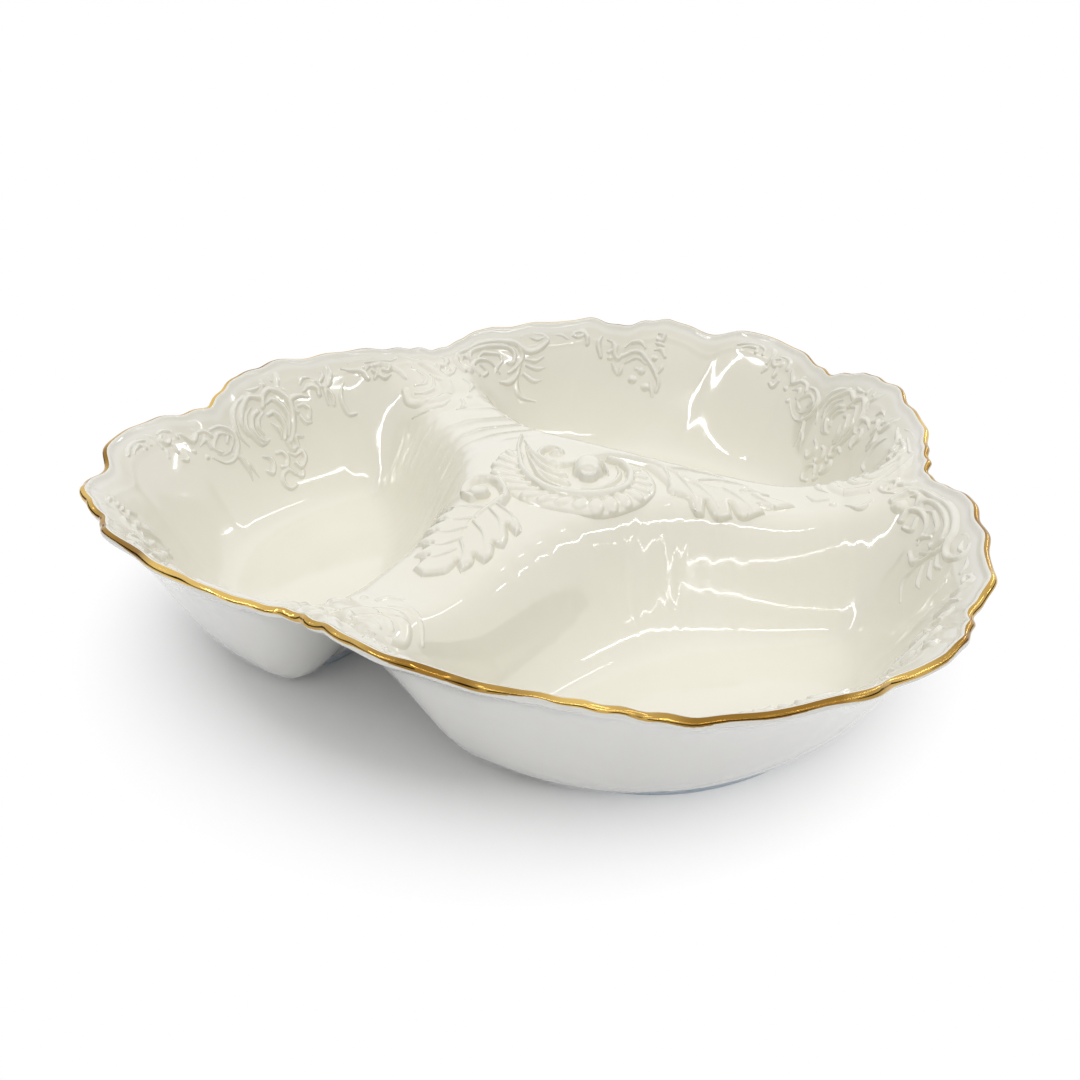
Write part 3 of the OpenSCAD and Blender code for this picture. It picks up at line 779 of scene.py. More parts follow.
def relief_piece(name, x, y, strokes, keep=None, turn=0.0):
    """Sheet on the inside surface, lifted by the strokes and cut where they end."""
    angle, r, inside = plan_terms(x, y)
    from_rim = smooth_rim(angle) + scallop(angle) - lip_inset - r
    lift = (relief(x, y, strokes) + SINK) * ease((from_rim - 1.5) / 3.5) - SINK
    # Hollows between strokes are darkened: glaze pooling and painted shade.
    pool_shade, crest = glaze_pools_and_shade(lift)
    points = np.stack([x, y, glazed_height(x, y)], -1)
    points += normals_of(glazed_height, x, y) * lift[..., None]
    quads = grid_faces(*x.shape, False)
    wanted = lift.ravel()[quads].max(1) > 0.02 - SINK
    if keep is not None:
        wanted &= keep(x.ravel()[quads].mean(1), y.ravel()[quads].mean(1))
    quads = quads[wanted]
    used, quads = np.unique(quads, return_inverse=True)
    tint = (0.6 + 0.4 * ease((from_rim - 1) / 8)) * (1 - 0.6 * crest)
    return make_piece(name, turned(points, turn).reshape(-1, 3)[used], quads.reshape(-1, 4), (),
                      {"ivory": tint.ravel()[used], "pool_shade": 0.35 * pool_shade.ravel()[used]}, glaze)


test_lift = relief(np.array([[80.0]]), np.array([[0.0]]), [bead(80, 0, 4, 2)])
print("a bead 2 mm high lifts its middle %.2f mm" % test_lift[0, 0])

# %% [markdown]
# ## The middle scroll and its leaves
# A thick comma sweeps round a boss with a flat button. A ruffled fringe of small
# tongues fans out below it, flame-like strands fill its inside, and two leaves
# with blunt teeth run out along the right and front ridges.

# %% Scroll, boss and fringe
comma = [(-14, 33), (-14.5, 21), (-13.5, 9), (-12, 0), (-8.5, -8), (-4, -15), (0.5, -18.5),
         (6.5, -20.3), (12.5, -20), (18, -17.5), (22.5, -13.5), (24.5, -8), (24.8, 0),
         (22.5, 6), (18, 9.5)]
strands = [stroke(comma, 5.0, 3.3, 0.3, 0.6, 2.4),
           stroke([(-12, 22), (-10.5, 12), (-8.4, 3.6), (-5.4, -6), (-1, -12), (4, -15.7),
                   (10, -17), (15.5, -15.5), (19.5, -11)], 2.3, 1.9, 0.3, 0.4),
           stroke([(-12.5, 28), (-9.5, 16), (-5, 8), (0.5, 4.3)], 4.4, 2.4, 0.2, 0.8, swell=0.75),
           stroke([(-10.8, 18), (-7.5, 8), (-3.3, 0.5), (2, -3.5)], 4.4, 2.3, 0.2, 0.8, swell=0.75),
           stroke([(-9.8, 11), (-6.8, 1), (-2.5, -6), (3.5, -10)], 4.0, 2.1, 0.2, 0.7, swell=0.7),
           stroke([(20.5, 5), (21.3, -1), (19.5, -7.5), (14.5, -12.5), (8, -13.5)], 2.4, 1.5, 0.5, 0.3),
           stroke([(13.5, 6.5), (16, 3), (17.2, -2)], 2.6, 3.2, 0.5, 0.3)]
curl = [stroke([(9, 8.5), (3, 5), (-2, 5.5), (-5.5, 8.5), (-7, 13), (-5.5, 17.5), (-1.5, 19),
                (1, 16.5)], 3.4, 2.4, 0.7, 0.8), bead(-1, 15.3, 5.0, 2.3)]
boss = [stroke([(10.5, 2.8), (10.5, -1.8)], 11, 4.9, 1, 1, 3.4),
        disc(10.5, -5.6, 3.3, 3.6, 8),
        disc(10.5, -5.6, 2.4, 0.5, -6),
        stroke([(10.5, 4), (10.5, -5)], 13.5, 0.9, 1, 1)]

tips = [(-19, 16), (-21.5, 10.5), (-23.5, 5), (-23.5, -1.5), (-22, -8), (-18.5, -14.5),
        (-13, -21), (-7, -25), (-0.5, -27.8), (6.5, -30), (13, -31), (19, -28.5), (24.5, -25),
        (29, -20.5), (31.5, -15.5), (32.3, -10), (31.3, -5), (29, -0.5)]
tongue_width = [3.8, 4.0, 4.4, 4.8, 4.8, 5.0, 6.2, 6.0, 6.6, 6.8, 7.0, 6.6, 6.4, 5.6, 5.2, 4.4,
                4.2, 3.8]
roots = smooth_path(comma[2:13], len(tips))
tongues = []
for root, tip, width in zip(roots, np.array(tips), tongue_width):
    out = (tip - root) / np.linalg.norm(tip - root)
    end = tip - out * width / 2
    bend = (root + end) / 2 + np.array([-out[1], out[0]]) * 0.8
    tongues.append(stroke([root, bend, end], width, 2.3, 0.45, 0.9, 3, 0.85))
stem = [stroke([(6, 6), (10.5, 10.5), (16.5, 12.2), (22, 11.3), (29, 8.8), (34, 6), (38.5, 2.5),
                (42.5, -1), (48.5, -4), (54, -5.3), (60, -5.6), (66, -5.6), (72, -6.2),
                (78, -8)], 4.8, 2.9, 0.6, 0.2, swell=0.3),
        stroke([(17, 14.5), (24, 14), (31, 11.5), (36, 9)], 2.6, 1.7, 0.3, 0.4)]
tongues.append((smooth_path((roots + np.array(tips) * 1.3) / 2.3, 60), np.full(60, 4.6),
                np.full(60, 1.3), 5))
print(len(tongues), "strokes in the fringe")

# %% Leaves
right_leaf = [slab([(27, 10), (35, 11), (42, 9.7), (50, 8), (47.5, 6), (55, 5.5), (61.5, 4),
                    (58.5, 2), (65, 1.7), (69, 0), (66, -1.3), (72.5, -2.5), (71, -4.2),
                    (76, -5.8), (81, -8.6), (76, -11), (71.5, -12.8), (68.5, -11.5),
                    (69.8, -15), (66, -17), (62.5, -18.3), (59.8, -17.5), (58, -13.5),
                    (58.6, -18), (55, -19.3), (51.5, -18.6), (49.6, -15), (49, -19),
                    (46.5, -19.3), (44.4, -17.5), (43.4, -14.5), (41, -13.5), (38.8, -13),
                    (36.8, -11), (37, -7), (35, -3), (33, 1.5)], 1.9)]
for vein in ([(40.5, 0), (43, -6), (45, -12), (46.5, -16.5)], [(43, -2), (47, -6), (50.5, -11),
             (53.5, -16)], [(56, -5), (60, -8.5), (63, -12.5), (65.5, -15.5)],
             [(38, 4), (45, 5.5), (51, 5.8), (57, 4.6)], [(48, -2), (54, 0.5), (61, 1.5),
             (66, 0.5)], [(62, -4.5), (67, -3.2), (72, -3.8)], [(66, -6.5), (70, -9.5), (73, -11.5)],
             [(36.5, 3), (37.5, -3), (38.3, -10.5)]):
    right_leaf.append(stroke(vein, 2.4, 2.75, 0.95, 0.55, swell=0.15))
left_leaf = [slab([(-19, -26), (-25, -24.5), (-31, -24), (-38, -23.5), (-35, -27), (-40.8, -29.5),
                   (-36.5, -32.5), (-43, -36.5), (-38.5, -38.8), (-44, -43.5), (-39.3, -45.3),
                   (-44, -50.3), (-39.8, -51.5), (-43.3, -57), (-40, -61), (-33, -60),
                   (-30, -55.5), (-28.3, -60), (-25, -56.5), (-24.5, -53), (-21.5, -56),
                   (-19, -52.5), (-18.8, -47.5), (-15.8, -49), (-14.7, -44), (-15.2, -38.5),
                   (-12.4, -43), (-10.6, -40), (-12, -34), (-15, -29)], 2.0),
             stroke([(-17.6, -22), (-20, -26), (-24, -31), (-27.5, -37), (-29.5, -43.5),
                     (-31, -50), (-36, -56.5)], 4.6, 2.9, 0.9, 0.2, swell=0.1)]
for vein in ([(-23, -28.5), (-29, -27), (-35, -25.5)], [(-25.5, -34), (-31.5, -34), (-38, -31.5)],
             [(-28, -39), (-34, -40.5), (-40, -38.5)], [(-29, -44.5), (-35, -47), (-41, -45.5)],
             [(-30.5, -50), (-36, -53), (-41, -52.5)], [(-19, -27), (-14.5, -33), (-12.3, -39.5)],
             [(-21.5, -29), (-18, -36), (-16.8, -45)], [(-26, -36), (-22.5, -43), (-21.3, -51.5)],
             [(-29.5, -45), (-28, -51), (-28.2, -56.5)]):
    left_leaf.append(stroke(vein, 2.4, 2.75, 0.95, 0.55, swell=0.15))
volute = [stroke([(-18.5, -25), (-17, -19), (-18.5, -12.5), (-22, -8), (-26.5, -7.5), (-30, -11),
                  (-30.5, -16.5), (-28, -20.5)], 4.4, 2.7, 0.9, 0.8),
          disc(-26.5, -17.5, 3.0, 3.1, 5, 1.5)]
middle_strokes = strands + curl + boss + tongues + stem + right_leaf + left_leaf + volute

# %% Build the middle pieces
def plan_grid(x0, x1, y0, y1, step=0.2):
    """Even grid of places in plan."""
    return np.meshgrid(np.arange(x0, x1 + step / 2, step), np.arange(y0, y1 + step / 2, step),
                       indexing="ij")


def on_front_leaf(x, y):
    """True for places that belong to the front leaf."""
    return (y < -23) & (x < -9.5)


grid = plan_grid(-34, 34, -34, 36)
scroll = relief_piece("middle_scroll", *grid, middle_strokes,
                      lambda x, y: ~on_front_leaf(x, y))
grid = plan_grid(34, 84, -22, 14)
leaf_along_right = relief_piece("leaf_along_right_ridge", *grid, middle_strokes)
grid = plan_grid(-50, -9, -66, -22)
leaf_along_front = relief_piece("leaf_along_front_ridge", *grid, middle_strokes, on_front_leaf)
for piece, node in ((scroll, "centre_scroll"), (leaf_along_right, "leaf_right"),
                    (leaf_along_front, "leaf_front")):
    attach(piece, "root")
    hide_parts(node)

# %% [markdown]
# ## Ornament under the rim
# Each lobe carries the same run of ornament, so it is drawn once and turned.
# Points are set as steps along the rim and steps inwards from it, counted from
# an anchor angle, because that is how a modeller would measure them.

# %% Rim anchors
WIDER = 1.15


def rim_set(anchor, *strokes, low=0.85):
    """Strokes whose points are (along, inwards) at an anchor angle, put in plan.

    Without an anchor the points are in plan already and only width and rise are set.
    """
    strokes = [(path, half * WIDER, rise * low, flat) for path, half, rise, flat in strokes]
    if anchor is None:
        return strokes
    a = np.radians(anchor)
    out, along = np.array([np.cos(a), np.sin(a)]), np.array([-np.sin(a), np.cos(a)])
    start = out * smooth_rim(a)
    return [(start + path[:, :1] * along - path[:, 1:] * out, half, rise, flat)
            for path, half, rise, flat in strokes]


def twin(points, width, rise, start, end, gap=1.5):
    """Channelled stroke: a main roll with a finer one beside it, on its hollow side."""
    path = smooth_path(points, 6 * len(points))
    ahead = np.gradient(path, axis=0)
    ahead /= np.linalg.norm(ahead, axis=1)[:, None]
    turn_left = np.sign(np.sum(ahead[:-1, 0] * ahead[1:, 1] - ahead[:-1, 1] * ahead[1:, 0]))
    beside = path + np.stack([-ahead[:, 1], ahead[:, 0]], -1) * gap * turn_left
    inner = beside[2:-2:5]
    return [stroke(points, width, rise, start, end),
            stroke([tuple(q) for q in inner], width * 0.5, rise * 0.75, 0.5, 0.4)]


# %% Oval cartouche
oval = rim_set(
    30,
    stroke([(9.5, 7), (13.5, 7), (17, 8.5), (19, 10.5), (19.5, 13), (17.5, 15.5)], 2.6, 1.1, 0.8, 0.3),
    stroke([(4, 9.5), (7.5, 8), (11.5, 8.5), (14.5, 10), (16.5, 12), (16, 14)], 3.0, 1.4, 0.9, 0.3),
    stroke([(9, 10), (12.5, 10.5), (15, 12.5), (14, 14.5), (12, 16.5), (9.5, 17)], 2.4, 1.2),
    stroke([(7.5, 11.5), (10, 11.5), (12.5, 13), (12, 15), (10, 16.5), (8, 17)], 2.6, 1.4, 0.8, 0.5),
    stroke([(5.5, 12.5), (8.5, 12.8), (9.8, 14), (9, 15.5)], 2.2, 1.2, 0.6, 0.6),
    stroke([(4, 11.5), (2, 10), (-2, 10), (-5.5, 12.5), (-7, 15), (-6, 17.5), (-3.5, 19.5),
            (-0.5, 20.5)], 3.0, 1.4, 0.8, 0.8),
    stroke([(2, 11.5), (-1, 12), (-3, 14), (-4, 16), (-3, 18), (-0.5, 19.5)], 2.4, 1.3, 0.7, 0.6),
    stroke([(3.5, 13.5), (1, 14), (-0.5, 16), (-0.5, 18), (1.5, 19.3)], 2.6, 1.3, 0.8, 0.6),
    stroke([(4, 15), (2.8, 16.2), (2, 17.5), (2.8, 18.7)], 2.0, 1.1, 0.5, 0.5),
    stroke([(-1, 8), (-1.5, 6), (-4.5, 6), (-5, 8.5)], 2.2, 1.1, 0.8, 0.6),
    stroke([(-9, 7.5), (-7.5, 9.5), (-6, 11), (-7.5, 13)], 2.2, 1.1, 0.9, 0.4),
    stroke([(6.5, 6), (4, 7), (1.5, 7.5)], 2.2, 1.1), stroke([(8, 4), (5.5, 4.5), (3.5, 4.5)], 1.8, 0.9),
    stroke([(-5.5, 22), (-3, 20.8), (-2.2, 22.4)], 2.0, 1.1, 0.8, 0.8),
    stroke([(-2, 22.2), (0.5, 21.8), (1.3, 20.2)], 2.2, 1.1, 0.6, 0.8),
    stroke([(2.5, 21.5), (0.5, 23), (-2.5, 23.5), (-2.5, 25.2), (0.5, 25.5), (1.8, 24)], 2.3, 1.2, 0.6, 0.8),
    stroke([(7.5, 19.7), (5, 20.5), (4.2, 22), (6, 23), (8, 22.3)], 2.3, 1.2, 0.7, 0.8),
    stroke([(13.5, 18.5), (11, 19.5), (11, 21), (13, 22), (15, 21)], 2.2, 1.2, 0.7, 0.8),
    stroke([(4, 25.5), (6, 23.7), (9.5, 23.7), (10.5, 25.3), (9, 27), (6, 27.3)], 2.3, 1.2, 0.8, 0.7),
    stroke([(3.5, 26), (2, 27), (0.5, 26.5)], 2.0, 1.0, 0.6, 0.8),
    *twin([(30, 9), (25.5, 9.5), (22, 11.5), (22, 14), (26, 16), (31, 16), (35.5, 14.5)], 2.5, 1.3,
          0.6, 0.3),
    stroke([(26, 13), (24.5, 11.8), (28, 10.8), (31.5, 11.8), (32.5, 13), (30, 14)], 1.9, 1.0, 0.7, 0.8),
    stroke([(26, 15.5), (23.5, 16.5), (22.5, 19), (23, 21)], 2.2, 1.0, 0.7, 0.3),
    stroke([(23.5, 17.5), (21, 18.5), (19.5, 21)], 1.8, 0.9, 0.7, 0.3),
    stroke([(-15, 18), (-12, 16.2), (-8, 15.2), (-6.8, 16.5), (-8, 18.2)], 2.6, 1.3, 0.5, 0.8),
    stroke([(-9.5, 17.5), (-11.8, 18.3), (-13, 20), (-11.5, 21.3)], 2.2, 1.2, 0.6, 0.8),
    stroke([(-8.5, 19.3), (-9.3, 21), (-11.3, 22)], 2.0, 1.1, 0.8, 0.6),
    stroke([(-14.5, 16.3), (-17.5, 16.8), (-19.8, 19), (-19.3, 20.5)], 2.4, 1.2, 0.6, 0.8),
    stroke([(-21, 19.3), (-22.8, 21.3), (-23.5, 23.5), (-22.5, 25)], 2.2, 1.1, 0.6, 0.8),
    stroke([(-21, 18), (-21.8, 20), (-24.5, 21), (-27.3, 20), (-28.5, 18), (-28.5, 15.5)], 2.4, 1.2,
           0.7, 0.5),
    stroke([(-22.5, 18.8), (-24, 18.6), (-25, 17.3)], 2.0, 1.1, 0.8, 0.6),
    stroke([(-14.5, 14.5), (-17, 14.2), (-19.5, 15.8)], 2.0, 1.0, 0.6, 0.4),
    stroke([(41, 11), (37, 8.7), (33, 8.7), (31, 10.3)], 2.4, 1.1, 0.3, 0.8),
    stroke([(38, 11.5), (34.5, 10.7), (34, 12.5)], 2.0, 1.0, 0.4, 0.8))

# %% Curls between the cartouches
top_curls = rim_set(
    52,
    stroke([(18.5, 4), (15, 2.5), (11.5, 2), (8, 2.5), (5.5, 3.8), (5.5, 5.8)], 2.4, 1.2, 0.8, 0.6),
    stroke([(16, 5), (13, 4), (9.5, 4), (9, 5.8)], 2.0, 1.1, 0.4, 0.8),
    stroke([(2, 8), (1, 5), (1.5, 2.5), (4, 1.2), (8, 0.8)], 2.4, 1.2, 0.5, 0.6),
    stroke([(-2.5, 4.5), (-6, 4.5), (-8.3, 6.5), (-8.5, 9)], 2.4, 1.2, 0.5, 0.7),
    stroke([(-3, 5.5), (-0.8, 6.5), (-1.5, 8), (-4.5, 8), (-5, 6.8)], 2.0, 1.2, 0.7, 0.8),
    stroke([(-4, 9), (-3.5, 11)], 2.4, 1.3, 0.8, 0.8), stroke([(0.5, 8.5), (2.5, 10.5)], 2.0, 1.0),
    stroke([(-6.5, 12), (-5, 13.5), (-2.8, 12.8)], 2.2, 1.2, 0.7, 0.8),
    stroke([(-11, 9), (-12.3, 10.8), (-14, 12.5), (-16.8, 12.5), (-17.8, 11)], 2.4, 1.3, 0.7, 0.7),
    bead(-11, 13.5, 2.4, 1.2), bead(-14.5, 17, 2.2, 1.1))
start_curls = rim_set(
    12,
    stroke([(3.5, 4.5), (-0.5, 4.3), (-5, 5.5), (-9.5, 6.5), (-13.5, 8), (-16, 10), (-15, 11.5),
            (-11, 10), (-7, 8.5), (-3.5, 7)], 2.2, 1.2, 0.5, 0.5),
    stroke([(7.5, 5.5), (4.5, 7), (1.5, 8), (-0.5, 9.3), (-1.3, 11.5)], 2.8, 1.3, 0.4, 0.9),
    bead(-1.5, 8.3, 2.0, 1.1), bead(-3.8, 9, 2.0, 1.1), bead(-6.2, 10, 2.0, 1.1),
    stroke([(-4.5, 10.8), (-5.5, 12.3), (-4, 13)], 2.0, 1.2, 0.8, 0.8),
    stroke([(-8.5, 10.8), (-10.8, 11.8), (-11.5, 13.5), (-10, 14.2), (-8.5, 13)], 2.2, 1.3, 0.8, 0.8),
    stroke([(-6.3, 13.5), (-7.5, 15.3), (-9.8, 15.8)], 2.2, 1.2, 0.8, 0.6),
    stroke([(9, 9), (12, 11.5), (11.5, 15), (8.5, 16)], 2.2, 1.1, 0.5, 0.8),
    stroke([(13.5, 6), (17, 8), (18, 11.5)], 2.2, 1.1, 0.8, 0.4))
beaded = rim_set(
    77,
    stroke([(4, 13), (1, 11.3), (-2.5, 10.8), (-6, 11.8), (-9, 13.3), (-11, 15), (-12.8, 16.8),
            (-12.3, 18.8)], 2.6, 1.4, 0.7, 0.7),
    stroke([(3, 14.5), (0, 12.8), (-3, 12.4), (-6, 13.3)], 2.0, 1.1, 0.6, 0.5),
    stroke([(4, 11), (1.5, 8.8), (-2, 8.2), (-5, 9.3)], 2.4, 1.2, 0.4, 0.5),
    bead(-1, 17.5, 3.8, 1.5), bead(-4.5, 15.2, 3.2, 1.4), bead(-7, 18.3, 3.6, 1.5),
    bead(-2, 15, 1.8, 1.0),
    stroke([(7.5, 11.5), (8, 13.5), (6.5, 14.5), (5, 13.3)], 2.4, 1.3, 0.6, 0.8),
    stroke([(8.5, 16), (6, 17.8)], 2.2, 1.1, 0.6, 0.8), stroke([(4.8, 17.8), (4.3, 15.8)], 2.0, 1.1),
    stroke([(12, 10.5), (9.5, 10.8), (8.8, 12.5), (11, 13.8)], 2.2, 1.2, 0.5, 0.7),
    stroke([(15, 10.5), (15.7, 13.5), (14, 16)], 2.4, 1.2, 0.5, 0.8),
    bead(-9.5, 11.2, 2.8, 1.3), stroke([(-14, 10.5), (-12, 8.8), (-9.5, 9)], 2.2, 1.2, 0.8, 0.5),
    stroke([(-10.3, 3.8), (-12.3, 4), (-12, 6), (-9.7, 5.8)], 2.2, 1.2, 0.8, 0.8),
    stroke([(-9, 7), (-12.8, 7.5)], 2.2, 1.1), stroke([(-9, 17), (-10.7, 20)], 2.2, 1.1),
    bead(10, 15, 2.4, 1.1), stroke([(-13.8, 12.8), (-12.3, 14.5)], 2.2, 1.1),
    stroke([(20.5, 15), (21.3, 12.8), (24.5, 12.2), (27, 14.5)], 2.4, 1.2, 0.8, 0.4))
print(len(oval), len(top_curls), len(start_curls), len(beaded), "strokes")

# %% Scrolls at a notch
notch = rim_set(
    None,
    stroke([(111, -16), (113.5, -15), (117, -15), (120.5, -18), (123, -24.5), (124.5, -31),
            (124.5, -37), (123.5, -42), (122, -46), (119.5, -49), (118.5, -53), (118.5, -58),
            (119.5, -61), (122, -60), (123.5, -57)], 3.6, 1.9, 0.8, 0.5),
    stroke([(117.5, -24), (119, -22.5), (121, -24.5), (122.3, -30), (122.5, -35.5), (121.5, -41),
            (119.5, -44), (117.5, -43), (117.5, -40.5)], 2.8, 1.7, 0.7, 0.7),
    stroke([(119, -26.5), (120.5, -29.5), (120.5, -33.5), (120, -37), (118.3, -37.5)], 2.2, 1.5,
           0.5, 0.6),
    stroke([(112.5, -23.5), (115, -22), (117.5, -24.5), (118.5, -28.5), (118, -32), (115.5, -35)],
           2.6, 1.7, 0.9, 0.4),
    stroke([(113, -26), (115, -28.5), (116.5, -26.5)], 2.2, 1.5, 0.8, 0.8),
    bead(112.5, -19, 5.2, 2.2), stroke([(116.3, -17.5), (118.3, -19), (117, -22)], 2.2, 1.4),
    stroke([(122.5, -53.5), (121, -56.5), (121, -59)], 2.0, 1.3),
    stroke([(113.5, -34.5), (113.5, -38.5), (114.5, -42.5), (116.5, -45.5)], 3.0, 1.6, 0.6, 0.6),
    stroke([(115.5, -39.5), (116.5, -44), (118, -47.5), (120, -47)], 2.4, 1.5, 0.7, 0.7),
    stroke([(115.5, -33), (117, -34.5), (118.3, -38)], 2.2, 1.4),
    stroke([(114, -42.5), (111.5, -41.5), (110, -43), (108.5, -49)], 2.6, 1.2, 0.6, 0.3),
    stroke([(114.5, -46), (112.5, -50), (112, -54)], 2.2, 1.1, 0.8, 0.3),
    stroke([(116, -48.5), (114.5, -53), (114, -57)], 2.2, 1.1, 0.8, 0.3),
    stroke([(117.3, -49), (116.3, -53), (116.3, -57)], 2.2, 1.2, 0.6, 0.6),
    stroke([(118, -73), (116.8, -75), (117, -78.5), (118.7, -78), (118.7, -74.5)], 2.0, 1.2, 0.8, 0.8),
    stroke([(123.3, -49.5), (124.5, -51), (124, -54)], 2.0, 1.2),
    stroke([(123, -62.5), (122, -67.5), (120.5, -72), (119, -74)], 2.0, 1.1),
    stroke([(120.8, -64), (119.5, -68), (117.5, -70)], 2.0, 1.1),
    stroke([(120.8, -76.5), (119.3, -81), (117.5, -85)], 2.0, 1.1),
    stroke([(121, -3), (121.5, -5.5), (119.8, -9.3), (117, -10.8), (114.3, -9), (114.5, -5.5)], 2.4, 1.2,
           0.6, 0.8),
    stroke([(112, -12.5), (109.5, -10), (109, -6.5), (111.5, -4.5), (114, -6), (113.5, -8.5),
            (111.5, -9.5)], 2.2, 1.2, 0.5, 0.8),
    stroke([(110.5, -0.5), (107, -3), (105.5, -7.5)], 2.4, 1.1, 0.5, 0.5),
    stroke([(126, 12), (120, 3), (110, -4), (101, -4), (96, 2), (98, 9), (103.5, 12.5),
            (108.5, 12)], 5.0, 1.3, 0.35, 0.7, swell=0.35),
    stroke([(108, -0.5), (103, 1.5), (101.5, 5.5), (104, 9)], 2.4, 0.9, 0.4, 0.7),
    stroke([(116, 5.5), (110, 2), (106.5, 4), (107.5, 7.5)], 2.4, 0.9, 0.4, 0.7),
    stroke([(121, 27), (122.5, 19), (118, 12), (113, 9.5)], 2.8, 0.9, 0.3, 0.8),
    stroke([(93, -1), (90.5, 4), (92.5, 10), (97, 14)], 2.2, 1.0, 0.3, 0.5),
    stroke([(97, -12), (101, -15), (105, -13)], 2.4, 1.2), bead(93, -10, 2.4, 1.1),
    stroke([(92, -6), (88, -5), (86, -1)], 2.0, 1.0, 0.8, 0.4), low=0.7)
every_stroke = oval + top_curls + start_curls + beaded + notch
run_of_strokes = [(turned(path, LOBE * lobe), half, rise, flat)
                  for lobe in (0, -1, 1) for path, half, rise, flat in every_stroke]
print(len(run_of_strokes), "strokes round three lobes")

# %% Build the rim pieces
def rim_grid(start, end, deep, step=0.11):
    """Places between two angles, from just inside the lip to 'deep' millimetres in."""
    a = np.radians(np.arange(start, end + step / 2, step))[:, None]
    inwards = np.arange(1.0, deep, 0.22)[None, :]
    r = smooth_rim(a) + scallop(a) - lip_inset - inwards
    return r * np.cos(a), r * np.sin(a)


SECTORS = (("notch_scrolls", "crescent", -34, 16, 40), ("oval_cartouche", "cartouche", 16, 44, 34),
           ("rim_curls", None, 44, 66, 24), ("beaded_cartouche", "beaded", 66, 86, 28))
SIDES = (("right", "left", "front"), ("right", "back", "front"))
for label, node, start, end, deep in SECTORS:
    for lobe in range(3):
        side = SIDES[1 if label == "notch_scrolls" else 0][lobe]
        piece = relief_piece("%s_%s" % (label, side), *rim_grid(start, end, deep),
                             run_of_strokes, turn=LOBE * lobe)
        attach(piece, "root")
        if node:
            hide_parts("%s_%s" % (node, side))

# %% [markdown]
# ## The floor
# The bowl stands on a sheet of pale paper that runs to the background. Light Path
# lets the paper glow plain white where the camera or a reflection sees it away
# from the bowl. Near the bowl the glow fades out, so the paper keeps its shadow.

# %% Floor
GLOW_START = 0.105
GLOW_FULL = 0.155


def math_node(tree, operation, first, second):
    """Math node that joins two outputs; gives its own output."""
    node = tree.nodes.new("ShaderNodeMath")
    node.operation = operation
    tree.links.new(first, node.inputs[0])
    tree.links.new(second, node.inputs[1])
    return node.outputs[0]


def paper_material():
    """White paper whose glow grows from 0.01 to 1 with the distance from the middle."""
    paper = bpy.data.materials.new("White paper")
    paper.use_nodes = True
    tree = paper.node_tree
    shader = tree.nodes["Principled BSDF"]
    shader.inputs["Base Color"].default_value = (0.95, 0.95, 0.955, 1)
    shader.inputs["Roughness"].default_value = 0.9
    rays = tree.nodes.new("ShaderNodeLightPath")
    seen = math_node(tree, "MAXIMUM", rays.outputs["Is Camera Ray"], rays.outputs["Is Glossy Ray"])
    place = tree.nodes.new("ShaderNodeTexCoord")
    far = tree.nodes.new("ShaderNodeVectorMath")
    far.operation = "LENGTH"
    tree.links.new(place.outputs["Object"], far.inputs[0])
    ramp = span(tree, far.outputs["Value"], GLOW_START, GLOW_FULL, 0.01, 1.0)
    blend = tree.nodes.new("ShaderNodeMixShader")
    tree.links.new(math_node(tree, "MULTIPLY", seen, ramp), blend.inputs[0])
    tree.links.new(shader.outputs[0], blend.inputs[1])
    tree.links.new(tree.nodes.new("ShaderNodeEmission").outputs[0], blend.inputs[2])
    tree.links.new(blend.outputs[0], tree.nodes["Material Output"].inputs["Surface"])
    return paper


bpy.ops.mesh.primitive_plane_add(size=12, location=(0, 0, 0))
floor = bpy.context.object
floor.name = "floor"
floor.data.materials.append(paper_material())
print("paper glows fully from %.0f mm outwards" % (1000 * GLOW_FULL))

# %% [markdown]
# ## The air of the studio
# The world is plain white to the camera, through glass and in reflections. As a
# light it is a soft grey that grows brighter upwards, as under a pale ceiling, so
# the wells stay a little darker than the crests.

# %% World
scene.world = bpy.data.worlds.new("Studio air")
scene.world.use_nodes = True
tree = scene.world.node_tree
rays = tree.nodes.new("ShaderNodeLightPath")
seen = math_node(tree, "MAXIMUM", rays.outputs["Is Camera Ray"], rays.outputs["Is Transmission Ray"])
seen = math_node(tree, "MAXIMUM", seen, rays.outputs["Is Glossy Ray"])
towards = tree.nodes.new("ShaderNodeTexCoord")
split = tree.nodes.new("ShaderNodeSeparateXYZ")
tree.links.new(towards.outputs["Generated"], split.inputs[0])
level = tree.nodes.new("ShaderNodeMix")
tree.links.new(seen, level.inputs[0])
tree.links.new(span(tree, split.outputs["Z"], 0.0, 0.8, 0.3, 0.72), level.inputs[2])
level.inputs[3].default_value = 1.0
background = tree.nodes["Background"]
background.inputs["Color"].default_value = (1, 1, 1, 1)
tree.links.new(level.outputs[0], background.inputs["Strength"])
print("world nodes", len(tree.nodes))

# %% [markdown]
# ## Lights
# One wide soft light above and one in front light the bowl, and show in no
# reflection. The bright lines on the glaze are long narrow strips that only
# reflect: a bent one in five lengths, two for the shoulder and one behind. Each
# stands where the glaze mirrors it to the camera at the place of a bright line.

# %% Lights
BOWL_MIDDLE = Vector((0, 0, 0.03))
STRIP_DISTANCE = 1.4


def soft_light(name, middle, size, watts):
    """Rectangular area light that faces the middle of the bowl."""
    data = bpy.data.lights.new(name, "AREA")
    data.shape = "RECTANGLE"
    data.size, data.size_y = size
    data.energy = watts
    lamp = bpy.data.objects.new(name, data)
    scene.collection.objects.link(lamp)
    lamp.location = middle
    lamp.rotation_euler = (BOWL_MIDDLE - Vector(middle)).to_track_quat("-Z", "Y").to_euler()
    return lamp


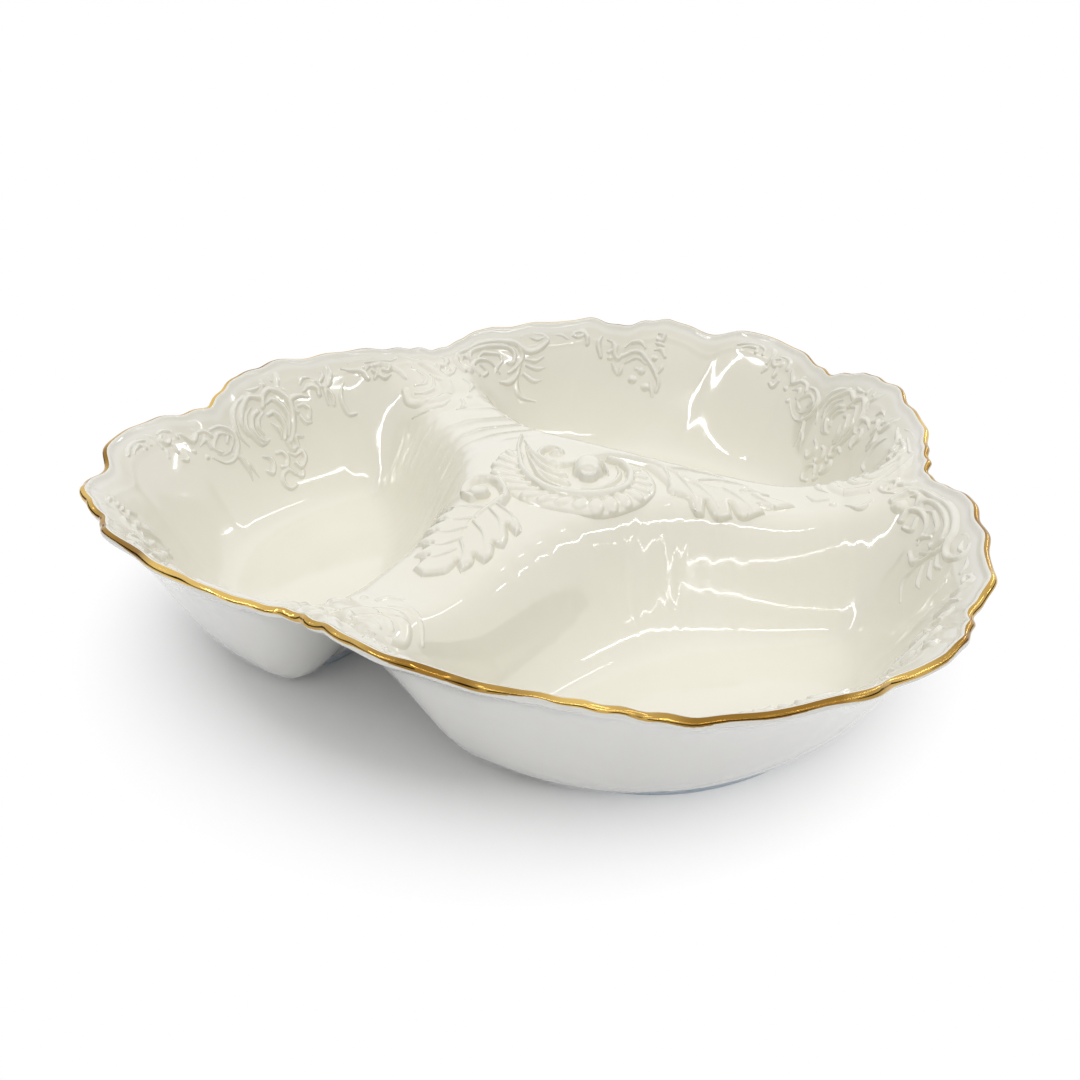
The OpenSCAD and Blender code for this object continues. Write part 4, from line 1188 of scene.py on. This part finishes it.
def at(bearing, height):
    """Place at a bearing and a height angle, in degrees, round the middle of the bowl."""
    b, h = np.radians(bearing), np.radians(height)
    return STRIP_DISTANCE * np.array([np.cos(b) * np.cos(h), np.sin(b) * np.cos(h), np.sin(h)])


def strip(name, start, end, wide, glow):
    """Narrow light between two places, as bright as 'glow' whatever its length."""
    length = float(np.linalg.norm(end - start))
    lamp = soft_light(name, (start + end) / 2, (length, wide), glow * np.pi * length * wide)
    side = Vector((end - start) / length)
    away = Vector((start + end) / 2).normalized()
    up = away.cross(side).normalized()
    lamp.rotation_euler = Matrix((side, up, side.cross(up))).transposed().to_euler()
    lamp.visible_diffuse = False


bend = [at(-28, 29), at(-54, 30), at(-82, 36), at(-117, 38), at(-147, 42), at(177, 55)]
widths = (0.010, 0.010, 0.022, 0.036, 0.030)
glows = (12, 12, 18, 22, 22)
for step in range(5):
    strip("long_strip_%d" % step, bend[step], bend[step + 1], widths[step], glows[step])
strip("strip_shoulder", at(-8, 37), at(-30, 41), 0.024, 18)
strip("strip_shoulder_high", at(-30, 41), at(-60, 62), 0.024, 18)
strip("strip_behind", at(52, 16), at(14, 56), 0.026, 12)
for name, middle, size, watts in (("soft_top", (0.1, 0.2, 1.6), (2.2, 2.2), 13.4),
                                  ("soft_front", at(-90, 38), (1.6, 0.5), 3.6)):
    soft_light(name, middle, size, watts).visible_glossy = False
print(len(bpy.data.lights), "lights")

# %% [markdown]
# ## Dark cards
# Polished gold mirrors its room, so in an all-white room it would look flat. Three
# cards of black felt round the bowl give it dark streaks, as a photographer's black
# flags do. The camera doesn't see them.

# %% Cards
CARD_DISTANCE = 0.95
CARD_WIDTH = 1.3
CARD_HEIGHT = 0.2
felt = bpy.data.materials.new("Black felt")
felt.use_nodes = True
shader = felt.node_tree.nodes["Principled BSDF"]
shader.inputs["Base Color"].default_value = (0.03, 0.03, 0.03, 1)
shader.inputs["Roughness"].default_value = 1.0


def felt_card(name, bearing, tall):
    """Upright card of black felt at a bearing from the bowl, facing the bowl."""
    a = np.radians(bearing)
    middle = Vector((CARD_DISTANCE * np.cos(a), CARD_DISTANCE * np.sin(a), CARD_HEIGHT))
    bpy.ops.mesh.primitive_plane_add(size=1, location=middle)
    card = bpy.context.object
    card.name = name
    card.scale = (CARD_WIDTH, tall, 1)
    inwards = Vector((0, 0, CARD_HEIGHT)) - middle
    card.rotation_euler = inwards.to_track_quat("Z", "Y").to_euler()
    card.data.materials.append(felt)
    card.visible_camera = False


felt_card("dark_card_front", -90, 0.42)
felt_card("dark_card_right", -5, 0.26)
felt_card("dark_card_left", -175, 0.36)
print("cards stand %.2f m from the bowl" % CARD_DISTANCE)

# %% [markdown]
# ## Camera
# The camera looks down on the bowl from the front. Its aim, height angle and
# distance come from the rim, the notches and the feet in the reference picture,
# so that pieces can be compared with it place by place.

# %% Camera
target = np.array([6.85, -1.73, 22.6]) / 1000
height = np.radians(28.19)
turn = np.radians(1.8)
distance = 0.4186
away = np.array([np.sin(turn) * np.cos(height), -np.cos(turn) * np.cos(height), np.sin(height)])
lens = bpy.data.cameras.new("camera")
lens.lens = 39.27
lens.sensor_width = 36
lens.clip_start = 0.01
camera = bpy.data.objects.new("camera", lens)
scene.collection.objects.link(camera)
camera.location = target + away * distance
camera.rotation_euler = Vector(-away).to_track_quat("-Z", "Y").to_euler()
scene.camera = camera
print("camera at", [round(v, 3) for v in camera.location])
